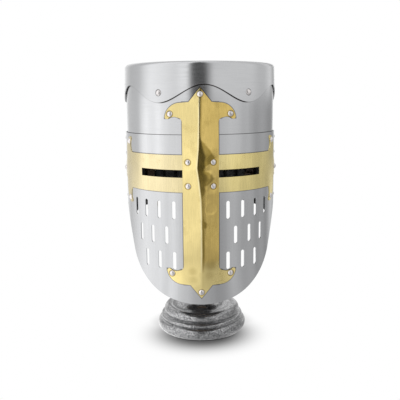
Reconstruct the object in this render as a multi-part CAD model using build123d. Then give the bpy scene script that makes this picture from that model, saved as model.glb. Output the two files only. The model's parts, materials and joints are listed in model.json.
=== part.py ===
from build123d import *
import math
import os

# A great helm on a turned display stand, in millimetres, +Z up.
# The origin is the centre of the stand's underside. The helm looks along -Y.
# Seen from above the helm is an oval: a half circle in front, a half circle
# behind, and a short straight stretch on each side. Heights on the helm are
# given as depths below the flat of its crown.

# Helm, overall
helm_width = 218.4
helm_run = 34.0
helm_height = 326.0
chin_clearance = 80.0
sheet = 1.0
plate_gap = 0.1
overrun = 6.0

# Crown cap with its waved skirt
rim_radius = 5.0
skirt_crest = 29.6
skirt_trough = 52.7
skirt_flare_width = 1.8
skirt_waves = 6
skirt_turn = 5.7
skirt_rivet_depth = 40.0

# Plates
seam_depth = 94.8
seam_lap = 19.0
back_edge_depth = 208.0
face_rear_run = 15.0
side_lap = 22.0
roll_slit = 0.4

# Lower edge of the face plate, seen from the front
chin_radius = 138.0
chin_angle = 17.3
cheek_radius = 80.0
cheek_angle = 78.6
side_corner_depth = 203.0
side_corner_rise = 6.0

# Eye slits
slit_height = 10.2
slit_inner = 20.0
slit_outer = 80.5

# Breath slots, three rows on each side
slot_length = 24.5
slot_width = 5.2
slot_pitch = 22.6
slot_first = 37.3
slot_row_depth = 195.4
slot_row_pitch = 35.0
slot_row_counts = (4, 3, 3)

# Brass cross
brass_sheet = 0.8
cross_depth = 145.8
cross_top = 33.7
cross_bottom = 316.6
upright_width = 48.0
arm_width = 49.8
arm_length = 160.0
point_half = 15.0
point_length = 18.5
lobe_reach = 46.5
lobe_drop = 40.0
web_drop = 38.4
web_radius = 6.0
tip_rivet_inset = 8.4
lobe_rivet_inset = 33.7
lobe_rivet_half = 40.0
centre_rivet_half = 16.9
centre_rivet_rise = 15.8
crossing_margin = 2.0
keel_height = 10.5

# The curve of a lobe, from the foot of the point to its hooked end.
# Shares of the way from point to reach, and from point to drop.
lobe_knee_share = (0.46, 0.05)
lobe_back_share = (0.86, 0.40)
lobe_end_share = (1.0, 0.84)
lobe_hook_share = (0.965, 1.0)
lobe_under_share = (0.84, 0.97)
lobe_web_share = (0.62, 0.88)

# The keel of the upright rises to its full height at a share of its length.
# The other two shares are powers: how fast it falls away, and how soon it is full width.
keel_peak_share = 0.42
keel_fall_share = 1.3
keel_spread_share = 6.0
keel_end_share = 0.015
keel_steps = 14

# Rivets
rivet_head = 8.0
rivet_dome = 2.4
rivet_shank = 3.6
rivet_tail = 6.0
rivet_tail_height = 0.8
rivet_gap = 0.05
rivet_seat = 0.15
keel_seat = 0.2
side_rivet_depths = (104.3, 127.0, 160.0, 191.0)
side_rivet_inset = 10.0
back_rivet_arcs = (9.0, 62.0, 112.0)

# Leather inside the helm
leather = 2.0
leather_gap = 0.1
band_top = 32.0
band_bottom = 100.0
tongue_count = 6
tongue_first_angle = 30.0
tongue_foot_width = 58.0
tongue_end_width = 17.0
tongue_slope = 18.0
tongue_lap = 12.0
lace_apothem = 26.0
lace_depth = 23.0
lace_diameter = 3.4
lace_corner = 8.0
hem_bore = 4.6
pad_thickness = 11.0
pad_top = 116.0
pad_side_depth = 222.0
pad_back_depth = 207.0
pad_round = 3.0

# Chin strap: two straps hung inside the helm, with a buckle on the left one
strap_angle = 62.0
strap_width = 20.0
strap_gap = 0.3
strap_pad_gap = 0.7
strap_rivet_depth = 148.0
tab_top = 139.0
tab_bottom = 164.0
strap_top = 155.5
left_strap_length = 48.5
buckle_bar = 3.0
buckle_length = 20.0
buckle_inner_width = 22.6
buckle_play = 0.06
strap_fold_length = 24.0
prong_slot = 5.0
prong_ring = 5.6
prong_ring_width = 3.4
prong_rod = 2.2
prong_overhang = 1.5
left_keeper_rise = 21.0
right_keeper_rise = 31.0
keeper_height = 8.0
keeper_leather = 1.2
right_fold_depth = 215.0
right_fold_gap = 2.0
right_tail_length = 47.0
strap_hole = 3.4
strap_hole_pitch = 10.0
strap_hole_count = 4

# Stand: cast foot, column and padded head
foot_felt_thickness = 1.5
foot_felt_radius = 63.5
foot_base_radius = 65.5
foot_ring_radius = 69.0
foot_ring_height = 9.5
foot_ring_top = 17.0
ring_two_radius = 64.0
ring_two_height = 21.0
ring_two_top = 24.8
torus_radius = 59.0
torus_height = 31.0
torus_top_radius = 46.0
torus_top = 38.0
moulding_step = 1.0
neck_radius = 23.0
neck_height = 58.0
foot_top = 66.0
foot_recess_radius = 17.0
foot_recess_depth = 14.0
column_bottom_radius = 20.0
column_top_radius = 13.0
head_radius = 58.0
head_drop = 62.0
head_under_radius = 18.0
head_shoulder = 22.0
head_felt = 2.5
head_felt_inset = 2.0
screw_diameter = 10.0
screw_head_radius = 8.5
screw_head_height = 6.4
screw_grip = 24.0
screw_play = 0.1
screw_chamfer = 0.6
washer_radius = 13.0
washer_thickness = 2.0
head_screw_sink = 12.0
seat_gap = 0.3

# Worked out from the sizes above
helm_top = chin_clearance + helm_height
half_run = helm_run / 2
face_out = helm_width / 2
face_in = face_out - sheet
back_out = face_in - plate_gap
back_in = back_out - sheet
upper_out = back_in - plate_gap
upper_in = upper_out - sheet
cap_in = upper_out + plate_gap
cap_out = cap_in + sheet
bar_in = face_out + plate_gap
bar_out = bar_in + brass_sheet
bar_top = cross_depth - arm_width / 2
bar_bottom = cross_depth + arm_width / 2
upper_bottom = seam_depth + seam_lap
quarter_arc = cap_out * math.pi / 2
oval_length = 4 * quarter_arc + 2 * helm_run
wide = helm_width * 2
band_out = upper_in - leather_gap
band_in = band_out - leather
pad_out = back_in - leather_gap
pad_in = pad_out - pad_thickness
strap_start = strap_top + leather / 2
buckle_bar_depth = strap_start + left_strap_length
right_end_depth = right_fold_depth - right_tail_length


def level(depth):
    """Height above the table of a place given by its depth below the crown."""
    return helm_top - depth


def flat(*points):
    """A face in the XZ plane through points given as radius and height."""
    return make_face(Polyline([(x, 0, z) for x, z in points], close=True))


def band_profile(inner, outer, top, bottom):
    """The cut section of an upright wall between two depths."""
    high = level(top)
    low = level(bottom)
    return flat((inner, low), (outer, low), (outer, high), (inner, high))


def round_oval(profile):
    """Carry a section once round the helm's oval."""
    half = revolve(profile, Axis.Z, 180)
    back = Pos(0, half_run, 0) * half
    front = Pos(0, -half_run, 0) * Rot(0, 0, 180) * half
    side = Pos(0, half_run, 0) * extrude(profile, amount=helm_run, dir=(0, -1, 0))
    return back + front + side + mirror(side, about=Plane.YZ)


def outward_plane(origin, out):
    """A plane that faces a level direction, with its own y axis pointing up."""
    return Plane(origin=origin, x_dir=(-out[1], out[0], 0), z_dir=(out[0], out[1], 0))


def oval_plane(arc, radius, height):
    """A plane on the oval wall, facing outwards, at an arc length from the front."""
    length = abs(arc)
    if length <= quarter_arc:
        angle = length / cap_out
        centre = -half_run
    elif length <= quarter_arc + helm_run:
        angle = math.pi / 2
        centre = length - quarter_arc - half_run
    else:
        angle = (length - helm_run) / cap_out
        centre = half_run
    out = (math.copysign(math.sin(angle), arc), -math.cos(angle))
    return outward_plane((radius * out[0], centre + radius * out[1], height), out)


def front_plane(angle, radius, height):
    """A plane on the front half circle, facing outwards, at an angle from the front."""
    out = (math.sin(math.radians(angle)), -math.cos(math.radians(angle)))
    return outward_plane((radius * out[0], radius * out[1] - half_run, height), out)


def rivet(grip):
    """A domed rivet: head above zero, shank down through its grip, tail below."""
    reach = grip + rivet_seat
    radius = (rivet_head ** 2 / 4 + rivet_dome ** 2) / (2 * rivet_dome)
    dome = Pos(0, 0, rivet_dome - radius) * Sphere(radius)
    keep = Cylinder(rivet_head, rivet_head, align=(Align.CENTER, Align.CENTER, Align.MIN))
    shank = Cylinder(rivet_shank / 2, reach, align=(Align.CENTER, Align.CENTER, Align.MAX))
    tail = Pos(0, 0, -reach) * Cylinder(rivet_tail / 2, rivet_tail_height,
                                       align=(Align.CENTER, Align.CENTER, Align.MAX))
    return (dome & keep) + shank + tail


def rivet_hole(grip):
    """The hole that a rivet's shank passes through, with a little overrun."""
    length = grip + rivet_dome
    return Cylinder(rivet_shank / 2 + rivet_gap, length,
                    align=(Align.CENTER, Align.CENTER, Align.MAX))


def seat_rivets(sites):
    """Rivets and their holes at a list of places and grips."""
    bodies = [place * rivet(grip) for place, grip in sites]
    holes = [place * rivet_hole(grip) for place, grip in sites]
    return bodies, holes


def lean(plane, rise, run):
    """A rivet's place on a plane, leaned back to sit square on a wall that flares downwards."""
    return plane.location * Rot(-math.degrees(math.atan2(rise, run)), 0, 0)


def save(node, shape):
    """Write one node, a solid or a list of separate solids, to its file."""
    if isinstance(shape, (list, tuple)):
        shape = Compound(children=list(shape))
    export_step(shape, f"parts/{node}.step")
    print(node, "volume", round(shape.volume), "solids", len(shape.solids()))


def crown_cap():
    """Flat crown, rounded rim and a skirt that flares a little over the plates."""
    deep = skirt_trough + overrun
    spread = skirt_flare_width * deep / skirt_trough
    outside = flat((0, helm_top), (cap_out, helm_top),
                   (cap_out + spread, level(deep)), (0, level(deep)))
    corner = outside.vertices().sort_by(Axis.Z)[-2:].sort_by(Axis.X)[-1]
    outside = fillet(corner, rim_radius)
    inside = flat((0, level(sheet)), (cap_in, level(sheet)),
                  (cap_in + spread, level(deep + overrun)), (0, level(deep + overrun)))
    corner = inside.vertices().sort_by(Axis.Z)[-2:].sort_by(Axis.X)[-1]
    inside = fillet(corner, rim_radius - sheet)
    cap = round_oval(outside) - round_oval(inside)
    for wave in range(skirt_waves):
        cap -= skirt_wave(wave)
    return cap


def wave_depth(arc):
    """Depth of the skirt's edge at an arc length from the front."""
    middle = (skirt_crest + skirt_trough) / 2
    swing = (skirt_trough - skirt_crest) / 2
    turn = 2 * math.pi * skirt_waves * (arc - skirt_turn) / oval_length
    return middle - swing * math.cos(turn)


def skirt_wave(wave):
    """What is cut from the skirt below one wave of its edge."""
    steps = 12
    wavelength = oval_length / skirt_waves
    start = skirt_turn + (wave - skirt_waves / 2) * wavelength
    bottom = level(skirt_trough + 2 * overrun)
    sections = []
    for step in range(-1, steps + 2):
        arc = start + wavelength * (step / steps - 1 / 2)
        arc = (arc + oval_length / 2) % oval_length - oval_length / 2
        top = level(wave_depth(arc))
        low_in = oval_plane(arc, cap_in - overrun, bottom).origin
        low_out = oval_plane(arc, cap_out + overrun, bottom).origin
        high_out = oval_plane(arc, cap_out + overrun, top).origin
        high_in = oval_plane(arc, cap_in - overrun, top).origin
        sections.append(make_face(Polyline([low_in, low_out, high_out, high_in], close=True)))
    return loft(sections)


def upper_plate():
    """The rolled band between the cap and the seam, with its slit at the back."""
    plate = round_oval(band_profile(upper_in, upper_out, rim_radius, upper_bottom))
    return plate - Pos(0, wide / 2, helm_top) * Box(roll_slit, wide, wide)


def face_outline():
    """The face plate seen from the front: straight top, U-shaped lower edge."""
    side = face_out + overrun
    chin = (0, -helm_height)
    first = math.radians(chin_angle)
    second = math.radians(cheek_angle)
    chin_end = (chin_radius * math.sin(first),
                chin[1] + chin_radius * (1 - math.cos(first)))
    centre = (chin_end[0] - cheek_radius * math.sin(first),
              chin_end[1] + cheek_radius * math.cos(first))
    middle = (first + second) / 2
    cheek_mid = (centre[0] + cheek_radius * math.sin(middle),
                 centre[1] - cheek_radius * math.cos(middle))
    cheek_end = (centre[0] + cheek_radius * math.sin(second),
                 centre[1] - cheek_radius * math.cos(second))
    rise = -side_corner_depth - cheek_end[1]
    corner = (cheek_end[0] + rise / math.tan(second), -side_corner_depth)
    out = (side, -side_corner_depth + side_corner_rise)
    half_chin = (chin_radius * math.sin(first / 2),
                 chin[1] + chin_radius * (1 - math.cos(first / 2)))
    edges = [ThreePointArc(chin, half_chin, chin_end),
             ThreePointArc(chin_end, cheek_mid, cheek_end),
             Line(cheek_end, corner),
             Line(corner, out),
             Line(out, (side, -seam_depth)),
             Line((side, -seam_depth), (0, -seam_depth)),
             Line((0, -seam_depth), chin)]
    half = make_face(edges)
    whole = half + mirror(half, about=Plane.YZ)
    return Plane.XZ * Pos(0, helm_top) * whole


def slit_cutters():
    """What is cut from the face plate and the cross bar for the two eye slits."""
    length = slit_outer - slit_inner
    block = Box(length, wide, slit_height, align=(Align.MIN, Align.MAX, Align.CENTER))
    right = Pos(slit_inner, -half_run, level(cross_depth)) * block
    return [right, mirror(right, about=Plane.YZ)]


def breath_sites():
    """Arc length and depth of every breath slot on the right side."""
    sites = []
    for row, count in enumerate(slot_row_counts):
        shift = slot_pitch / 2 if row == 1 else 0
        for place in range(count):
            arc = slot_first + shift + place * slot_pitch
            sites.append((arc, slot_row_depth + row * slot_row_pitch))
    return sites


def breath_cutters():
    """What is cut from the face plate for the breath slots."""
    slot = extrude(SlotOverall(slot_length, slot_width, rotation=90), amount=overrun, both=True)
    cutters = []
    for arc, depth in breath_sites():
        angle = math.degrees(arc / face_out)
        for side in (angle, -angle):
            cutters.append(front_plane(side, face_out, level(depth)).location * slot)
    return cutters


def face_plate():
    """The front plate, below the seam, that laps over the others on the outside."""
    ring = round_oval(band_profile(face_in, face_out, seam_depth, helm_height + overrun))
    rear = face_rear_run - half_run
    front = Pos(0, rear, level(helm_height / 2)) * Box(wide, wide, wide,
                                                      align=(Align.CENTER, Align.MAX, Align.CENTER))
    keep = extrude(face_outline(), amount=wide)
    plate = ring & front & keep
    return plate - slit_cutters() - breath_cutters()


def back_plate():
    """The back plate below the seam, tucked under the face plate at both sides."""
    ring = round_oval(band_profile(back_in, back_out, seam_depth, back_edge_depth))
    start = face_rear_run - half_run - side_lap
    keep = Pos(0, start, level(seam_depth)) * Box(wide, wide, wide,
                                                 align=(Align.CENTER, Align.MIN, Align.CENTER))
    return ring & keep


def fleury(half_width, tail):
    """The end of a cross arm: a point and two hooked lobes, tip at zero, pointing up."""
    span = lobe_reach - point_half
    drop = lobe_drop - point_length

    def place(share):
        return (point_half + share[0] * span, -point_length - share[1] * drop)

    tip = (0, 0)
    foot = (point_half, -point_length)
    knee = place(lobe_knee_share)
    end = place(lobe_end_share)
    under = place(lobe_under_share)
    web = (half_width + web_radius, -web_drop)
    inner = (half_width, -web_drop - web_radius)
    bow = web_radius * (1 - math.sqrt(1 / 2))
    edges = [Line(tip, foot),
             Line(foot, knee),
             ThreePointArc(knee, place(lobe_back_share), end),
             ThreePointArc(end, place(lobe_hook_share), under),
             ThreePointArc(under, place(lobe_web_share), web),
             ThreePointArc(web, (half_width + bow, -web_drop - bow), inner),
             Line(inner, (half_width, -tail)),
             Line((half_width, -tail), (0, -tail)),
             Line((0, -tail), tip)]
    half = make_face(edges)
    return half + mirror(half, about=Plane.YZ)


def arm_end_angle():
    """Angle from the front at which the flat pattern of an arm's end is wrapped."""
    return math.degrees((arm_length - lobe_drop / 2) / bar_out)


def bar_sector(top, bottom, start, end):
    """Part of a ring of the bar's radius, between two depths and two angles."""
    sector = revolve(band_profile(bar_in, bar_out, top, bottom), Axis.Z, end - start)
    return Pos(0, -half_run, 0) * Rot(0, 0, start - 90) * sector


def cross_bar():
    """The level arm of the cross, one strip bent round the face plate."""
    tail = lobe_drop + web_radius
    centre = arm_end_angle()
    tip = math.degrees(arm_length / bar_out)
    join = math.degrees((arm_length - tail) / bar_out)
    offset = bar_out * math.sin(math.radians(tip - centre))
    pattern = Pos(offset, 0) * Rot(0, 0, -90) * fleury(arm_width / 2, tail * 2)
    prism = extrude(pattern, amount=overrun, both=True)
    prism = front_plane(centre, bar_out, level(cross_depth)).location * prism
    reach = tip + math.degrees(overrun / bar_out)
    tall = arm_width / 2 + lobe_reach
    right = bar_sector(cross_depth - tall, cross_depth + tall, join, reach) & prism
    strip = bar_sector(bar_top, bar_bottom, -join, join)
    return strip + right + mirror(right, about=Plane.YZ) - slit_cutters()


def upright_wall(lift):
    """Radius and height of the upright's back face, which steps over what it crosses."""
    return [(upper_out + lift, cross_top - crossing_margin),
            (face_out + lift, seam_depth - crossing_margin),
            (bar_out + lift, bar_top - crossing_margin),
            (bar_out + lift, bar_bottom + crossing_margin),
            (face_out + lift, cross_bottom + crossing_margin)]


def wall_radius(depth, lift):
    """Radius of the upright's wall at a depth."""
    wall = upright_wall(lift)
    for (near, high), (far, low) in zip(wall, wall[1:]):
        if depth <= low:
            share = (depth - high) / (low - high)
            return near + (far - near) * share
    return wall[-1][0]


def wall_lean(depth):
    """How far the upright's wall moves out, for one step down at a depth."""
    return wall_radius(depth + sheet, 0) - wall_radius(depth - sheet, 0), 2 * sheet


def keel_at(depth):
    """Height of the keel and half its breadth at a depth."""
    share = (depth - cross_top) / (cross_bottom - cross_top)
    bend = math.log(1 / 2) / math.log(keel_peak_share)
    height = math.sin(math.pi * share ** bend) ** keel_fall_share
    breadth = 1 - (1 - math.sin(math.pi * share)) ** keel_spread_share
    return height * keel_height, breadth * (upright_width / 2 - plate_gap)


def keel_section(depth):
    """One level of the keel: a triangle whose sides run on behind the wall."""
    height, half_base = keel_at(depth)
    radius = wall_radius(depth, plate_gap + brass_sheet)
    edge = math.sqrt(radius ** 2 - half_base ** 2)
    apex = radius + height
    base = half_base * 3 / 2
    root = apex - (apex - edge) * base / half_base
    points = [(-base, -half_run - root), (0, -half_run - apex), (base, -half_run - root)]
    return make_face(Polyline([(x, y, level(depth)) for x, y in points], close=True))


def keel():
    """The raised ridge along the upright, as a solid that also fills what is behind it."""
    length = cross_bottom - cross_top
    start = cross_top + keel_end_share * length
    end = cross_bottom - keel_end_share * length
    depths = [start + (end - start) * step / keel_steps for step in range(keel_steps + 1)]
    depths += [cross_depth - centre_rivet_rise, cross_depth + centre_rivet_rise]
    return loft([keel_section(depth) for depth in sorted(depths)])


def cross_upright():
    """The upright of the cross, keeled down its middle, with a point at each end."""
    front = upright_wall(plate_gap + brass_sheet)
    back = upright_wall(plate_gap)
    core = bar_out / 2
    fill = [(core, front[0][1])] + front + [(core, front[-1][1])]
    hollow = [(core / 2, back[0][1] - overrun)] + [(back[0][0], back[0][1] - overrun)] + back
    hollow += [(back[-1][0], back[-1][1] + overrun), (core / 2, back[-1][1] + overrun)]
    outer = revolve(flat(*[(r, level(d)) for r, d in fill]), Axis.Z, 180)
    inner = revolve(flat(*[(r, level(d)) for r, d in hollow]), Axis.Z, 180)
    outer = Pos(0, -half_run, 0) * Rot(0, 0, 180) * outer
    inner = Pos(0, -half_run, 0) * Rot(0, 0, 180) * inner
    ridge = keel()
    shell = (outer + ridge) - inner - Pos(0, brass_sheet, 0) * ridge
    half_length = (cross_bottom - cross_top) / 2
    end = fleury(upright_width / 2, half_length)
    middle = (cross_top + cross_bottom) / 2
    top = Pos(0, half_length) * end
    pattern = Plane.XZ * Pos(0, level(middle)) * (top + mirror(top, about=Plane.XZ))
    return shell & extrude(pattern, amount=wide)


def centre_sites():
    """Places and grips of the four rivets round the crossing, square to the keel's faces."""
    sites = []
    for depth in (cross_depth - centre_rivet_rise, cross_depth + centre_rivet_rise):
        height, breadth = keel_at(depth)
        radius = wall_radius(depth, plate_gap + brass_sheet)
        edge = math.sqrt(radius ** 2 - breadth ** 2)
        slope = (radius + height - edge) / breadth
        front = radius + height - slope * centre_rivet_half + keel_seat
        turn = math.atan(slope)
        grip = front - math.sqrt(face_in ** 2 - centre_rivet_half ** 2)
        for side in (1, -1):
            origin = (side * centre_rivet_half, -half_run - front, level(depth))
            plane = outward_plane(origin, (side * math.sin(turn), -math.cos(turn)))
            sites.append((plane.location, grip / math.cos(turn) + sheet))
    return sites


def upright_sites(tip, inwards):
    """Places and grips of the three rivets at one end of the upright."""
    sites = []
    places = [(0, tip_rivet_inset), (lobe_rivet_half, lobe_rivet_inset),
              (-lobe_rivet_half, lobe_rivet_inset)]
    behind = band_in if inwards > 0 else face_in
    for across, inset in places:
        depth = tip + inwards * inset
        radius = wall_radius(depth, plate_gap + brass_sheet)
        if across == 0:
            radius += keel_at(depth)[0] + keel_seat
        angle = math.degrees(math.asin(across / radius))
        place = lean(front_plane(angle, radius, level(depth)), *wall_lean(depth))
        sites.append((place, radius - behind))
    return sites


def arm_sites(side):
    """Places and grips of the three rivets at one end of the bar."""
    sites = []
    places = [(tip_rivet_inset, 0), (lobe_rivet_inset, lobe_rivet_half),
              (lobe_rivet_inset, -lobe_rivet_half)]
    for inset, rise in places:
        angle = side * math.degrees((arm_length - inset) / bar_out)
        depth = cross_depth - rise
        behind = upper_in if depth < upper_bottom else face_in
        sites.append((front_plane(angle, bar_out, level(depth)).location, bar_out - behind))
    return sites


def side_sites(side):
    """Places and grips of the rivets down one side seam."""
    sites = []
    arc = side * (quarter_arc + face_rear_run - side_rivet_inset)
    for depth in side_rivet_depths:
        behind = upper_in if depth < upper_bottom else back_in
        sites.append((oval_plane(arc, face_out, level(depth)).location, face_out - behind))
    return sites


def back_sites():
    """Places and grips of the rivets that join the back plate to the rolled band."""
    sites = []
    depth = seam_depth + seam_lap / 2
    for arc in back_rivet_arcs:
        for side in (1, -1):
            plane = oval_plane(side * (oval_length / 2 - arc), back_out, level(depth))
            sites.append((plane.location, back_out - upper_in))
    return sites


def cap_sites():
    """Places and grips of the rivets through the skirt's troughs and the leather band."""
    sites = []
    flare = skirt_flare_width * skirt_rivet_depth / skirt_trough
    for wave in range(skirt_waves):
        arc = skirt_turn + (wave + 1 / 2) * oval_length / skirt_waves
        arc = (arc + oval_length / 2) % oval_length - oval_length / 2
        plane = oval_plane(arc, cap_out + flare, level(skirt_rivet_depth))
        place = lean(plane, skirt_flare_width, skirt_trough)
        sites.append((place, cap_out + flare - band_in))
    return sites


def strap_radius():
    """Distance of the tabs' outer face from the centre of the back half circle."""
    return pad_in - strap_pad_gap


def strap_direction(side):
    """Unit vector, level, from the back half circle's centre out to a strap."""
    angle = math.radians(strap_angle)
    return (side * math.sin(angle), math.cos(angle), 0)


def strap_sites():
    """Places and grips of the two rivets that hold the chin strap's tabs."""
    sites = []
    for side in (-1, 1):
        out = strap_direction(side)
        origin = (out[0] * back_out, half_run + out[1] * back_out, level(strap_rivet_depth))
        sites.append((outward_plane(origin, out).location, back_out - strap_radius() + leather))
    return sites


def strap_plane(side):
    """A plane seen along the strap's width: x is the distance out, y the height."""
    out = Vector(*strap_direction(side))
    across = out.cross(Vector(0, 0, 1))
    return Plane(origin=(0, half_run, helm_top), x_dir=out, z_dir=across)


def across_strap(side, face, width):
    """Carry a face drawn in the strap's plane across a width, centred on it."""
    return extrude(strap_plane(side) * face, amount=width / 2, both=True)


def slab(inner, outer, top, bottom):
    """A rectangle in the strap's plane between two distances and two depths."""
    return make_face(Polyline([(inner, -bottom), (outer, -bottom),
                               (outer, -top), (inner, -top)], close=True))


def strap_tab(side):
    """The short leather tab that is riveted through the pad."""
    outer = strap_radius()
    return across_strap(side, slab(outer - leather, outer, tab_top, tab_bottom), strap_width)


def strap_faces():
    """Outer and inner distance of the hanging strap."""
    outer = strap_radius() - leather - strap_gap
    return outer, outer - leather


def strap_head(inner, outer):
    """The rounded top of a hanging strap, about which it swings."""
    return Pos((inner + outer) / 2, -strap_start) * Circle(leather / 2)


def strap_left():
    """The buckle strap: one layer, folded round the buckle's bar and sewn back on itself."""
    outer, inner = strap_faces()
    loop = leather + buckle_bar / 2 + buckle_play
    bar = outer - loop
    layer = slab(inner, outer, strap_start, buckle_bar_depth)
    fold = make_face(Polyline([(outer - 2 * loop, -buckle_bar_depth), (outer, -buckle_bar_depth),
                               (outer, -buckle_bar_depth + strap_fold_length),
                               (inner, -buckle_bar_depth + strap_fold_length)], close=True))
    outline = layer + fold + strap_head(inner, outer)
    outline += Pos(bar, -buckle_bar_depth) * Circle(loop)
    outline -= Pos(bar, -buckle_bar_depth) * Circle(buckle_bar / 2 + buckle_play)
    strap = across_strap(-1, outline, strap_width)
    cut = slab(bar - 2 * loop, bar + 2 * loop, buckle_bar_depth - prong_ring,
               buckle_bar_depth + prong_ring)
    return strap - across_strap(-1, cut, prong_slot)


def bar_distance():
    """Distance of the buckle's bar from the centre of the back half circle."""
    outer, inner = strap_faces()
    return outer - leather - buckle_bar / 2 - buckle_play


def rod(side, start, end, radius):
    """A round rod with rounded ends, between places given as across, out and depth."""
    plane = strap_plane(side)
    ends = [plane.from_local_coords(Vector(out, -depth, across))
            for across, out, depth in (start, end)]
    direction = ends[1] - ends[0]
    axis = Plane(origin=ends[0], z_dir=direction)
    shaft = extrude(axis * Circle(radius), amount=direction.length)
    balls = [Pos(*end) * Sphere(radius) for end in ends]
    return shaft + balls[0] + balls[1]


def buckle_frame():
    """A rectangle of round rod; the strap's fold turns on its upper bar."""
    half = (buckle_inner_width + buckle_bar) / 2
    out = bar_distance()
    top = buckle_bar_depth
    bottom = buckle_bar_depth + buckle_length
    corners = [(-half, out, top), (half, out, top), (half, out, bottom), (-half, out, bottom)]
    frame = rod(-1, corners[0], corners[1], buckle_bar / 2)
    for start, end in ((1, 2), (2, 3), (3, 0)):
        frame += rod(-1, corners[start], corners[end], buckle_bar / 2)
    return frame


def buckle_prong():
    """A pin on a ring round the upper bar, resting across the lower one."""
    out = bar_distance()
    ring = Circle(prong_ring / 2) - Circle(buckle_bar / 2 + buckle_play)
    ring = across_strap(-1, Pos(out, -buckle_bar_depth) * ring, prong_ring_width)
    rest = out - (buckle_bar + prong_rod) / 2 - plate_gap
    start = (0, out - (prong_ring + buckle_bar) / 4, buckle_bar_depth + buckle_bar / 2)
    end = (0, rest, buckle_bar_depth + buckle_length + prong_overhang)
    pin = rod(-1, start, end, prong_rod / 2)
    bar_room = across_strap(-1, Pos(out, -buckle_bar_depth) * Circle(buckle_bar / 2 + buckle_play),
                            strap_width)
    return ring + (pin - bar_room)


def strap_right():
    """The plain strap, folded up on itself, with a row of holes in its free end."""
    outer, inner = strap_faces()
    middle = inner - right_fold_gap / 2
    far = inner - right_fold_gap - leather
    outline = slab(inner, outer, strap_start, right_fold_depth) + strap_head(inner, outer)
    outline += slab(far, far + leather, right_end_depth, right_fold_depth)
    bend = Pos(middle, -right_fold_depth) * (Circle(outer - middle) - Circle(right_fold_gap / 2))
    outline += bend & slab(far, outer, right_fold_depth, right_fold_depth + strap_width)
    strap = across_strap(1, outline, strap_width)
    for hole in range(strap_hole_count):
        depth = right_end_depth + strap_hole_pitch * (hole + 1)
        centre = strap_plane(1).from_local_coords(Vector(far, -depth, 0))
        punch = Plane(origin=centre, z_dir=strap_direction(1)).location * Cylinder(
            strap_hole / 2, right_fold_gap + leather)
        strap -= punch
    return strap


def strap_keeper(side, inner, outer, top):
    """A leather loop round both layers of a strap, its upper edge at a depth."""
    near = inner - leather_gap
    far = outer + leather_gap
    bottom = top + keeper_height
    shell = across_strap(side, slab(near - keeper_leather, far + keeper_leather, top, bottom),
                         strap_width + 2 * (leather_gap + keeper_leather))
    hollow = across_strap(side, slab(near, far, top - overrun, bottom + overrun),
                          strap_width + 2 * leather_gap)
    return shell - hollow


def fold_thickness(depth):
    """How far the left strap's fold reaches in at a depth, from its outer face."""
    outer, inner = strap_faces()
    loop = outer - bar_distance()
    share = (buckle_bar_depth - depth) / strap_fold_length
    return 2 * loop + (leather - 2 * loop) * share


def nape_pad():
    """The padded leather that lines the back and sides, longer at the sides."""
    high = level(pad_top)
    low = level(pad_side_depth)
    section = flat((pad_in, low), (pad_out, low), (pad_out, high), (pad_in, high))
    inner_top = section.vertices().sort_by(Axis.X)[:2]
    section = fillet(inner_top, pad_round)
    ring = round_oval(section)
    keep = Pos(0, 0, level(pad_top)) * Box(wide, wide, wide,
                                          align=(Align.CENTER, Align.MIN, Align.CENTER))
    far = half_run + pad_out + overrun
    under = helm_top - helm_height
    waist = (far * 2 / 3, level(pad_side_depth - (pad_side_depth - pad_back_depth) / 4))
    cut = make_face([ThreePointArc((0, 0, low), (0,) + waist, (0, far, level(pad_back_depth))),
                     Line((0, far, level(pad_back_depth)), (0, far, under)),
                     Line((0, far, under), (0, 0, under)),
                     Line((0, 0, under), (0, 0, low))])
    below = extrude(cut, amount=wide / 2, dir=(1, 0, 0)) + extrude(cut, amount=wide / 2,
                                                                  dir=(-1, 0, 0))
    return (ring & keep) - below


def tongue_foot(angle):
    """Distance from the helm's axis to the leather band's inner face, in a direction."""
    across = abs(math.cos(angle))
    along = abs(math.sin(angle))
    radius = band_in - leather_gap
    if across > 0 and radius * along / across <= half_run:
        return radius / across
    return half_run * along + math.sqrt(radius ** 2 - (half_run * across) ** 2)


def tongue_end():
    """Distance out and depth of the middle of a tongue where its hem begins."""
    slope = math.radians(tongue_slope)
    hem = hem_bore / 2 + leather
    lift = hem - leather / 2
    out = lace_apothem + hem * math.cos(slope) - lift * math.sin(slope)
    depth = lace_depth + hem * math.sin(slope) + lift * math.cos(slope)
    return out, depth


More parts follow.
